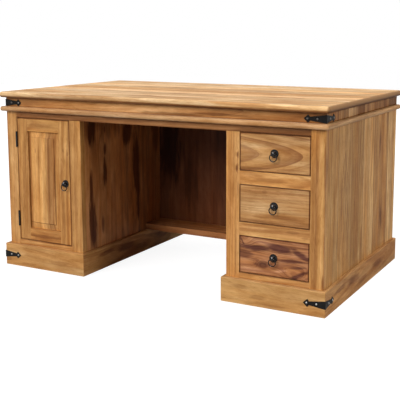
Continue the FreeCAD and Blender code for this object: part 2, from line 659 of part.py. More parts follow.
def door_tenon(way, rail_z, play=0.0):
    """Tenon of a door rail; with play it is the mortise in the door's stile. Each one stops at the
    panel groove on its inner edge and leaves a shoulder on its outer edge."""
    shoulder = DOOR_PANE_X[0] if way < 0 else DOOR_PANE_X[1]
    is_low = rail_z[0] < DOOR_PULL_Z
    low = rail_z[0] + (DOOR_TENON_SHOULDER if is_low else PANEL_GROOVE_DEPTH)
    high = rail_z[1] - (PANEL_GROOVE_DEPTH if is_low else DOOR_TENON_SHOULDER)
    y = (FRONT + PANEL_EDGE_DEPTH, FRONT + PANEL_EDGE_DEPTH + PANEL_EDGE_THICKNESS)
    x = (shoulder, shoulder + way * (DOOR_TENON_LENGTH + play))
    return block(x, widened(y, play), widened((low, high), play))


def panel_groove():
    """Room for the panel's edge all round the door frame."""
    y = (FRONT + PANEL_EDGE_DEPTH, FRONT + PANEL_EDGE_DEPTH + PANEL_EDGE_THICKNESS)
    return block(widened(DOOR_PANE_X, PANEL_GROOVE_DEPTH), widened(y, JOINT_PLAY),
                 widened(DOOR_PANE_Z, PANEL_GROOVE_DEPTH))


DOOR_RAILS_Z = ((DOOR_Z[0], DOOR_PANE_Z[0]), (DOOR_PANE_Z[1], DOOR_Z[1]))


def door_stile(way):
    """Upright of the door frame: hinge side -1, lock side 1."""
    edge = DOOR_X[0] if way < 0 else DOOR_X[1]
    inner = DOOR_PANE_X[0] if way < 0 else DOOR_PANE_X[1]
    post = block((edge, inner), DOOR_Y, DOOR_Z)
    eased = edges_on(post, x=edge, y=FRONT)
    for end in DOOR_Z:
        eased += edges_on(post, y=FRONT, z=end)
    post = post.makeFillet(FRONT_EDGE_RADIUS, eased)
    return post.cut([panel_groove()] + [door_tenon(way, z, JOINT_PLAY) for z in DOOR_RAILS_Z])


def door_rail(z):
    """Crosspiece of the door frame, tenoned into both stiles."""
    rail = block(DOOR_PANE_X, DOOR_Y, z)
    outer = DOOR_Z[0] if z[0] < DOOR_PULL_Z else DOOR_Z[1]
    rail = rail.makeFillet(FRONT_EDGE_RADIUS, edges_on(rail, y=FRONT, z=outer))
    return rail.fuse([door_tenon(way, z) for way in (-1, 1)]).removeSplitter().cut(panel_groove())


def rectangle(x, z, y):
    """Closed wire round a rectangle that faces the front."""
    corners = [(x[0], y, z[0]), (x[1], y, z[0]), (x[1], y, z[1]), (x[0], y, z[1])]
    return Part.makePolygon(corners + corners[:1])


def door_panel():
    """Raised and fielded panel: a thin edge in the groove, a bevel, and a field that steps up."""
    edge_front = FRONT + PANEL_EDGE_DEPTH
    bevel_front = edge_front - PANEL_BEVEL_RISE
    held = PANEL_GROOVE_DEPTH - PANEL_PLAY
    edge_y = (edge_front, edge_front + PANEL_EDGE_THICKNESS)
    edge = block(widened(DOOR_PANE_X, held), edge_y, widened(DOOR_PANE_Z, held))
    field_x = widened(DOOR_PANE_X, -PANEL_BEVEL_WIDTH)
    field_z = widened(DOOR_PANE_Z, -PANEL_BEVEL_WIDTH)
    bevel = Part.makeLoft([rectangle(DOOR_PANE_X, DOOR_PANE_Z, edge_front),
                           rectangle(field_x, field_z, bevel_front)], True, True)
    field = block(field_x, (bevel_front - PANEL_STEP, bevel_front), field_z)
    return edge.fuse([bevel, field]).removeSplitter()


LOCK_STILE_MIDDLE = DOOR_X[1] - DOOR_STILE_WIDTH / 2
CATCH_X = (LOCK_STILE_MIDDLE - CATCH_WIDTH / 2, LOCK_STILE_MIDDLE + CATCH_WIDTH / 2)
CATCH_Z = (OPENING_TOP - CATCH_HEIGHT, OPENING_TOP)
CATCH_PLATE_Y = (DOOR_Y[1] - CATCH_PLATE_THICKNESS, DOOR_Y[1])
CATCH_PLATE_Z = (CATCH_Z[0], DOOR_Z[1] - FRONT_GAP)


def door_catch():
    """Magnet block under the top rail, just behind the closed door."""
    start = DOOR_Y[1] + CATCH_PLAY
    return block(CATCH_X, (start, start + CATCH_DEPTH), CATCH_Z)


def catch_plate(play=0.0):
    """Steel plate let into the back of the door for the magnet; with play it is the recess."""
    y = (CATCH_PLATE_Y[0] - play, CATCH_PLATE_Y[1])
    return block(widened(CATCH_X, play), y, widened(CATCH_PLATE_Z, play))


def save(node, *shapes):
    """Writes a node's solids to its own file."""
    solids = [solid for shape in shapes for solid in shape.Solids]
    whole = solids[0] if len(solids) == 1 else Part.makeCompound(solids)
    whole.exportStep("parts/" + node + ".step")


STRAP_CORNERS = {
    "frieze_straps": (OUTER_X, FRONT, FRIEZE_UNDER + FRIEZE_STRAP_RISE),
    "plinth_straps": (OUTER_X + PLINTH_SIDE_PROUD, FRONT - PLINTH_FRONT_PROUD, PLINTH_HEIGHT / 2),
}
DRAWER_NAMES = ("bottom_drawer", "middle_drawer", "top_drawer")


def save_top_and_straps():
    """Top board, frieze, moulding, plinths, and the straps nailed over their corners."""
    nails = []
    holes = []
    for node, corner in STRAP_CORNERS.items():
        places = nail_places(*corner)
        corner_holes = [nail_hole(*place) for place in places]
        piece = strap(*corner).cut(corner_holes)
        corner_nails = [nail(*place) for place in places]
        nails += corner_nails + [flipped(one) for one in corner_nails]
        holes += corner_holes + [flipped(one) for one in corner_holes]
        save(node, piece, flipped(piece))
    save("strap_nails", *nails)
    save("desktop", desktop())
    front, sides, back = frieze()
    save("frieze_front", front.cut(holes))
    save("frieze_sides", *[board.cut(holes) for board in sides])
    save("frieze_back", back)
    front, sides, back = moulding()
    save("moulding_front", front)
    save("moulding_sides", *sides)
    save("moulding_back", back)
    plinths = [plinth(side) for side in (-1, 1)]
    save("plinth_fronts", *[front.cut(holes) for front, sides, back in plinths])
    save("plinth_sides", *[board.cut(holes) for front, sides, back in plinths for board in sides])
    save("plinth_backs", *[back for front, sides, back in plinths])


def save_carcass():
    """Face frames, sides, backs and boards of both pedestals, and the kneehole between them."""
    save("front_top_rail", top_rail())
    spans = [on_side(side, OPENING_IN, OPENING_OUT) for side in (-1, 1)]
    save("bottom_rails", *[tenoned_rail(span, BOTTOM_RAIL_Z) for span in spans])
    save("drawer_rails", *[tenoned_rail((OPENING_IN, OPENING_OUT), z) for z in DRAWER_RAILS_Z])
    save("left_outer_stile", outer_stile(-1).cut(leaf_recess(-1)))
    save("right_outer_stile", outer_stile(1))
    for name, side in (("left", -1), ("right", 1)):
        save(name + "_inner_stile", inner_stile(side))
        save(name + "_outer_side", side_panel(side, OUTER_PANEL, CARCASS_TOP))
        save(name + "_inner_side", side_panel(side, INNER_PANEL, OPENING_TOP))
    save("pedestal_backs", *[housed_board(side, BACK_PANEL_Y, CARCASS_Z) for side in (-1, 1)])
    save("pedestal_tops", *[housed_board(side, TOP_PANEL_Y, TOP_PANEL_Z) for side in (-1, 1)])
    save("cabinet_floor", housed_board(-1, FLOOR_Y, FLOOR_Z))
    save("cabinet_shelf", housed_board(-1, SHELF_Y, SHELF_Z))
    save("modesty_panel", modesty_panel())
    save("foot_shelf", foot_shelf())
    save("drawer_runners", *drawer_runners())
    save("drawer_stops", *drawer_stops())


def save_door():
    """Door frame and panel, its hinges, catch, pull and ring."""
    save("door_hinge_stile", door_stile(-1).cut(leaf_recess(1)))
    lock_holes = [catch_plate(JOINT_PLAY), stud_hole(DOOR_PULL_X, DOOR_PULL_Z)]
    save("door_lock_stile", door_stile(1).cut(lock_holes))
    save("door_bottom_rail", door_rail(DOOR_RAILS_Z[0]))
    save("door_top_rail", door_rail(DOOR_RAILS_Z[1]))
    save("door_panel", door_panel())
    frame_knuckles = range(0, HINGE_KNUCKLES, 2)
    door_knuckles = range(1, HINGE_KNUCKLES, 2)
    save("hinge_frame_leaves", *at_hinges(hinge_leaf(-1, frame_knuckles)))
    save("hinge_door_leaves", *at_hinges(hinge_leaf(1, door_knuckles)))
    save("hinge_pins", *at_hinges(hinge_pin()))
    save("door_catch", door_catch())
    save("catch_plate", catch_plate())
    save("door_pull", pull(DOOR_PULL_X, DOOR_PULL_Z))
    save("door_ring", ring(DOOR_PULL_X, DOOR_PULL_Z))


def save_drawers():
    """The drawers, each with its own pull and ring."""
    for name, base in zip(DRAWER_NAMES, DRAWER_BASES):
        front, walls, bottom = drawer(base)
        save(name + "_front", front)
        save(name + "_box", *walls)
        save(name + "_bottom", bottom)
        save(name + "_pull", pull(DRAWER_MIDDLE, base + PULL_RISE))
        save(name + "_ring", ring(DRAWER_MIDDLE, base + PULL_RISE))


os.makedirs("parts", exist_ok=True)
save_top_and_straps()
save_carcass()
save_door()
save_drawers()
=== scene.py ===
"""Looks of the writing desk: sawn wood, black iron, hinge screws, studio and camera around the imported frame.

Lengths are in metres. The frame is the CAD frame: X to the sitter's right, -Y to the sitter, Z up.
"""

import math
from functools import partialmethod

import bpy
import numpy as np
from mathutils import Matrix, Vector


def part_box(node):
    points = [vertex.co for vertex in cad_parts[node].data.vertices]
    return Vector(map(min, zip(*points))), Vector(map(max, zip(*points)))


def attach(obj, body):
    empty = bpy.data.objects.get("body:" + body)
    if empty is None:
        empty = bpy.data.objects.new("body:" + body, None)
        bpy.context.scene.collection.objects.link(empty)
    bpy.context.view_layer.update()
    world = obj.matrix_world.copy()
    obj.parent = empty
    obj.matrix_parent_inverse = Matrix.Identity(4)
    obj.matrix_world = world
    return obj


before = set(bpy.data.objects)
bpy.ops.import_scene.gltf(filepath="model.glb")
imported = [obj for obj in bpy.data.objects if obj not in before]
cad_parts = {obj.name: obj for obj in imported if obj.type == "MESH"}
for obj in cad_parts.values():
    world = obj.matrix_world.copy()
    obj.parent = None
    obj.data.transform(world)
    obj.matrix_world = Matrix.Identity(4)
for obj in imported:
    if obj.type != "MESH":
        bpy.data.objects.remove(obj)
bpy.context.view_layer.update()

# Camera, fitted to the photograph.
CAMERA_PLACE = (1.732655, -3.111243, 1.021569)
CAMERA_YAW = 28.080
CAMERA_PITCH = 8.465
CAMERA_LENS = 73.99
CAMERA_SENSOR = 36.0
CAMERA_SHIFT = (-0.0431, -0.12)

# Studio: soft suns in front, overhead and at the right, one more for glints on the iron, and a white sky.
# A sun has the way to it, its strength and its spread in degrees.
SUNS = {
    "key_sun": {"to_light": (-0.28, -0.8, 0.5), "strength": 3.0, "spread": 36.0, "mirrored": False},
    "overhead_sun": {"to_light": (0.05, 0.3, 1.0), "strength": 1.7, "spread": 26.0},
    "fill_sun": {"to_light": (0.9, -0.05, 0.43), "strength": 1.5, "spread": 26.0, "mirrored": False},
    "glint_sun": {"to_light": (-0.03, -0.45, 0.89), "strength": 5.5, "spread": 36.0, "spread_light": False},
}
SKY_STRENGTH = 0.14
SKY_REFLECTED = 0.4
SKY_SEEN = 1.0
# The pale floor: its size, its tone and glow to the camera, its tone to the light that it throws back, and
# how far clouds change the tone and from where.
FLOOR_HALF = 9.0
FLOOR_DROP = 0.0006
FLOOR_SEEN_TONE = 0.2
FLOOR_SEEN_GLOW = 0.9
FLOOR_BOUNCE_TONE = 0.35
FLOOR_ROUGHNESS = 0.9
FLOOR_CLOUDS = (0.02, 0.99)

# Middle of a pedestal, the hinge line and the hinges' heights, as in the part's source.
PEDESTAL_MIDDLE = 0.534
HINGE_X = -0.674
LEAF_GAP = 0.00015
LEAF_MIDDLE_Y = -0.416
HINGE_HEIGHTS = {"lower": 0.211, "upper": 0.557}
# Hinge screws: places along a leaf, rings of the head in shares of its radius, and its sizes. The dome's fall
# and the slot's depth are shares of the head's height, the slot's walls are shares of its half width, and the
# slots turn on from screw to screw.
SCREW_OFFSETS = (-0.022, 0.0, 0.022)
SCREW_RINGS = (0.02, 0.12, 0.17, 0.2, 0.35, 0.5, 0.65, 0.8, 0.92, 1.0, 1.0, 0.02)
SCREW_SIDES = 48
SCREW_RADIUS = 0.0029
SCREW_PROUD = 0.0001
SCREW_SUNK = 0.0006
SCREW_DOME = 0.4
SLOT_HALF_WIDTH = 0.0005
SLOT_WALL_END = 1.3
SLOT_WALL_SLOPE = 0.6
SLOT_DEPTH = 0.9
SLOT_FIRST_TURN = 0.6
SLOT_NEXT_TURN = 1.9

DRAWERS = ("top_drawer", "middle_drawer", "bottom_drawer")

# How a board lies: which way its grain, its width and its thickness run, as rows of a rotation.
LAYS = {
    "flat": ((1, 0, 0), (0, 1, 0), (0, 0, 1)),
    "flat_deep": ((0, 1, 0), (-1, 0, 0), (0, 0, 1)),
    "front_long": ((1, 0, 0), (0, 0, 1), (0, -1, 0)),
    "front_up": ((0, 0, 1), (1, 0, 0), (0, 1, 0)),
    "side_long": ((0, 1, 0), (0, 0, 1), (1, 0, 0)),
    "side_up": ((0, 0, 1), (0, 1, 0), (-1, 0, 0)),
}
# Nodes whose wood runs across the middle of the desk in one piece.
WHOLE_BOARDS = ("desktop", "frieze_front", "frieze_back", "moulding_front", "moulding_back", "front_top_rail",
                "modesty_panel", "foot_shelf")
# What a group for wood or iron gives to a shader.
SURFACE = {"Colour": "Color", "Roughness": "Float", "Height": "Float"}
# Half the thickness of boards that stand in pairs, and how far in from a drawer's end its back board reaches.
PAIR_HALF_THICKNESS = 0.009
DRAWER_BACK_DEPTH = 0.013

# Wood tones: sapwood between the rings, the rings themselves, and heartwood.
TONES = {
    # The top's tones are paler partly for its own wood and partly as painted sheen.
    "top": ((0.655, 0.417, 0.207), (0.468, 0.247, 0.097), (0.285, 0.128, 0.047)),
    "frieze": ((0.545, 0.273, 0.097), (0.388, 0.166, 0.048), (0.205, 0.068, 0.018)),
    # The top rail's tones are dark partly as painted shade from the moulding above it.
    "top_rail": ((0.3, 0.128, 0.042), (0.215, 0.078, 0.021), (0.115, 0.033, 0.009)),
    "frieze_side": ((0.4, 0.2, 0.068), (0.26, 0.104, 0.028), (0.11, 0.036, 0.012)),
    "moulding_side": ((0.52, 0.3, 0.13), (0.39, 0.19, 0.066), (0.25, 0.1, 0.034)),
    "moulding": ((0.57, 0.337, 0.166), (0.415, 0.207, 0.081), (0.25, 0.104, 0.04)),
    "stile": ((0.54, 0.272, 0.088), (0.37, 0.15, 0.038), (0.22, 0.075, 0.022)),
    "warm_stile": ((0.505, 0.25, 0.074), (0.345, 0.137, 0.032), (0.2, 0.068, 0.019)),
    "door": ((0.515, 0.257, 0.077), (0.345, 0.139, 0.032), (0.205, 0.068, 0.019)),
    "plain_drawer": ((0.46, 0.252, 0.098), (0.31, 0.138, 0.042), (0.19, 0.07, 0.026)),
    "dark_drawer": ((0.425, 0.188, 0.074), (0.265, 0.096, 0.038), (0.12, 0.036, 0.021)),
    "plinth": ((0.535, 0.296, 0.106), (0.405, 0.195, 0.058), (0.26, 0.104, 0.032)),
    "plinth_side": ((0.54, 0.29, 0.104), (0.4, 0.187, 0.056), (0.24, 0.094, 0.029)),
    "side": ((0.545, 0.3, 0.106), (0.38, 0.179, 0.053), (0.2, 0.078, 0.024)),
    "kneehole": ((0.57, 0.248, 0.085), (0.345, 0.131, 0.044), (0.08, 0.026, 0.012)),
    "foot_shelf": ((0.32, 0.124, 0.042), (0.21, 0.071, 0.022), (0.09, 0.028, 0.011)),
    "modesty": ((0.122, 0.039, 0.0145), (0.078, 0.0235, 0.0085), (0.035, 0.0115, 0.006)),
    "inner": ((0.5, 0.31, 0.14), (0.38, 0.21, 0.085), (0.28, 0.14, 0.055)),
}
# What other wood does to the colour under it: heartwood plain, purple, in flames and brown, sapwood
# and clouds of warmer wood. The grime tint darkens seams with old wax and dirt, and paints shade along
# edges, in gaps and in steps.
HEART_TINT = (0.46, 0.34, 0.3)
PURPLE_TINT = (0.3, 0.22, 0.31)
FLAME_TINT = (0.22, 0.15, 0.14)
BROWN_TINT = (0.41, 0.34, 0.28)
SAP_TINT = (1.3, 1.48, 1.8)
WARM_TINT = (1.03, 0.92, 0.76)
GRIME_AND_SHADE_TINT = (0.3, 0.17, 0.09)
# The sawn ends of a board: their tone, how far in from the end they begin, and in which share of
# that they come to full strength.
END_GRAIN_TONE = (0.3, 0.158, 0.066)
END_GRAIN_DEPTH = 0.012
END_GRAIN_SHARE = 0.7
# Painted shade on the lower half of a rounded nose, which faces down: the tint, and how far below the board's
# middle it begins and is full.
NOSE_SHADE_TINT = (0.45, 0.33, 0.26)
NOSE_SHADE_SPAN = (0.0, 0.0075)
# How much faster green and blue fall than red where wood darkens.
GREEN_DARKENING = 1.4
BLUE_DARKENING = 2.0
# A seam between planks: half the width of its core, its darkness and its depth as bump.
SEAM_CORE = 0.0001
SEAM_DARKNESS = 0.7
SEAM_DEPTH = 2.0
# Grime and painted shade along edges: how far they reach from an edge, and how much the grime roughens.
GRIME_AND_SHADE_WIDTH = 0.0048
GRIME_ROUGHNESS = 0.35
# Painted shade in the step round a panel's field, darker towards the bottom: where it fades, its strength, and
# how much of that the top end loses.
RIM_SHADE_LINE = (0.0006, 0.0024)
RIM_SHADE_STRENGTH = 0.8
RIM_SHADE_LOSS = 0.6
# Lens figures: how many lines, how thin they are and how wavy. Patches: how wavy their borders are.
LENS_LINES = 2.6
LENS_SHARPNESS = 2.5
LENS_WAVE = 0.5
PATCH_WAVE = 1.9

# Bump as strength and depth, and the tones of steel and plastic. Each iron finish has its own bump strength.
WOOD_BUMP = (0.35, 0.0004)
STEEL_BUMP = (0.3, 0.0001)
PLASTIC_BUMP = (0.4, 0.0002)
IRON_BUMP_DEPTH = 0.0006
STEEL_TONES = ((0.42, 0.42, 0.43, 1.0), (0.62, 0.62, 0.63, 1.0))
PLASTIC_TONES = ((0.15, 0.085, 0.045, 1.0), (0.24, 0.15, 0.085, 1.0))
# Iron finishes: colour, the bloom on it, how far polish lowers the roughness, bump, metal and shine.
BLACKENED = {"black": (0.005, 0.0046, 0.0042), "bloom": (0.011, 0.008, 0.006), "metallic": 0.0}
IRONS = {
    "black_iron": {**BLACKENED, "polish": 0.1, "bump": 0.2, "shine": 0.6},
    "satin_iron": {**BLACKENED, "polish": -0.22, "bump": 0.3, "shine": 0.3},
    "rubbed_iron": {"black": (0.4, 0.385, 0.365), "bloom": (0.2, 0.18, 0.16), "metallic": 1.0,
                    "polish": -0.12, "bump": 0.25, "shine": 0.5},
}
IRON_NODES = {"frieze_straps": "satin_iron", "plinth_straps": "satin_iron", "strap_nails": "rubbed_iron"}
for hinge_node in ("hinge_frame_leaves", "hinge_door_leaves", "hinge_pins"):
    IRON_NODES[hinge_node] = "black_iron"
for pull_owner in ("door", *DRAWERS):
    IRON_NODES[pull_owner + "_pull"] = "black_iron"
    IRON_NODES[pull_owner + "_ring"] = "black_iron"

# The inputs of sawn wood that come from a board's entry.
GRAIN_INPUTS = {
    "Seed": "seed", "Ring Width": "ring", "Pith Side": "pith_side", "Pith Depth": "pith_depth",
    "Slope": "slope", "Wave": "wave", "Spread": "spread", "Contrast": "contrast", "Lines": "lines",
    "Heart": "heart", "Sap": "sap", "Plank Tone": "plank_tone",
}
# A plain board. The entries of BOARDS change what is different about theirs.
# The pith lies beside and under the board's middle and slopes along it. Spread is how far planks differ in
# that, and plank_tone how far in tone. Contrast, lines, heart and sap are the strengths of soft rings, thin
# late-wood lines, heartwood and sapwood. Seams are places across the board.
# A knot is its place along and across the board, its half sizes, its push on the rings and its darkness.
# A lens is its place, its half sizes and its strength. A patch is its place, its half sizes, its strength
# (above 0 heartwood, below 0 sapwood) and, where it has one, its slant.
# The grime entry is the strength of old wax and dirt, and of painted shade in gaps and under overhangs, along
# the edges of the node's box, which the grime box widens to other nodes. Rim is how far in from the edge a
# panel's painted shade line runs. End grain is for a top with sawn ends and a rounded nose, and also paints
# shade on the lower half of the nose.
PLAIN_BOARD = {
    "lay": "front_long", "fold": None, "tone": "stile", "seed": 1.0, "ring": 0.015, "pith_side": 0.05,
    "pith_depth": 0.03, "slope": 0.05, "wave": 0.014, "spread": 0.03, "contrast": 1.0, "lines": 0.6,
    "heart": 0.5, "sap": 0.5, "plank_tone": 0.1, "seams": (), "seam_width": 0.0011, "knots": (), "lenses": (),
    "patches": (), "grime": 0.0, "grime_box": (), "shine": 0.3, "heart_tint": HEART_TINT, "rim": None,
    "end_grain_and_nose_shade": False,
}
# Drawer fronts and the door's frame: old wax and dirt, and painted shade, along the edges where the gaps round
# them are dark.
DRAWER_EDGE = {"grime": 1.0}
DOOR_FRAME = {"tone": "door", "grime": 0.9, "grime_box": ("door_hinge_stile", "door_lock_stile")}

TOP_SEAMS = (-0.352, -0.251, -0.158, -0.06, 0.043, 0.138, 0.24, 0.339)
SIDE_SEAMS = (-0.31, -0.16, -0.02, 0.12, 0.215, 0.31)
SIDE_BOARDS = {"tone": "side", "seams": SIDE_SEAMS, "pith_side": 0.06, "slope": 0.03, "spread": 0.08,
               "plank_tone": 0.45, "shine": 0.15, "ring": 0.009, "lines": 1.0, "seam_width": 0.0035}
KNEEHOLE_SIDE = {"lay": "side_up", "tone": "kneehole", "seams": SIDE_SEAMS, "spread": 0.06, "pith_side": 0.0,
                 "wave": 0.02}
FLAMED = {"ring": 0.03, "contrast": 0.7, "lines": 0.2, "heart_tint": FLAME_TINT}

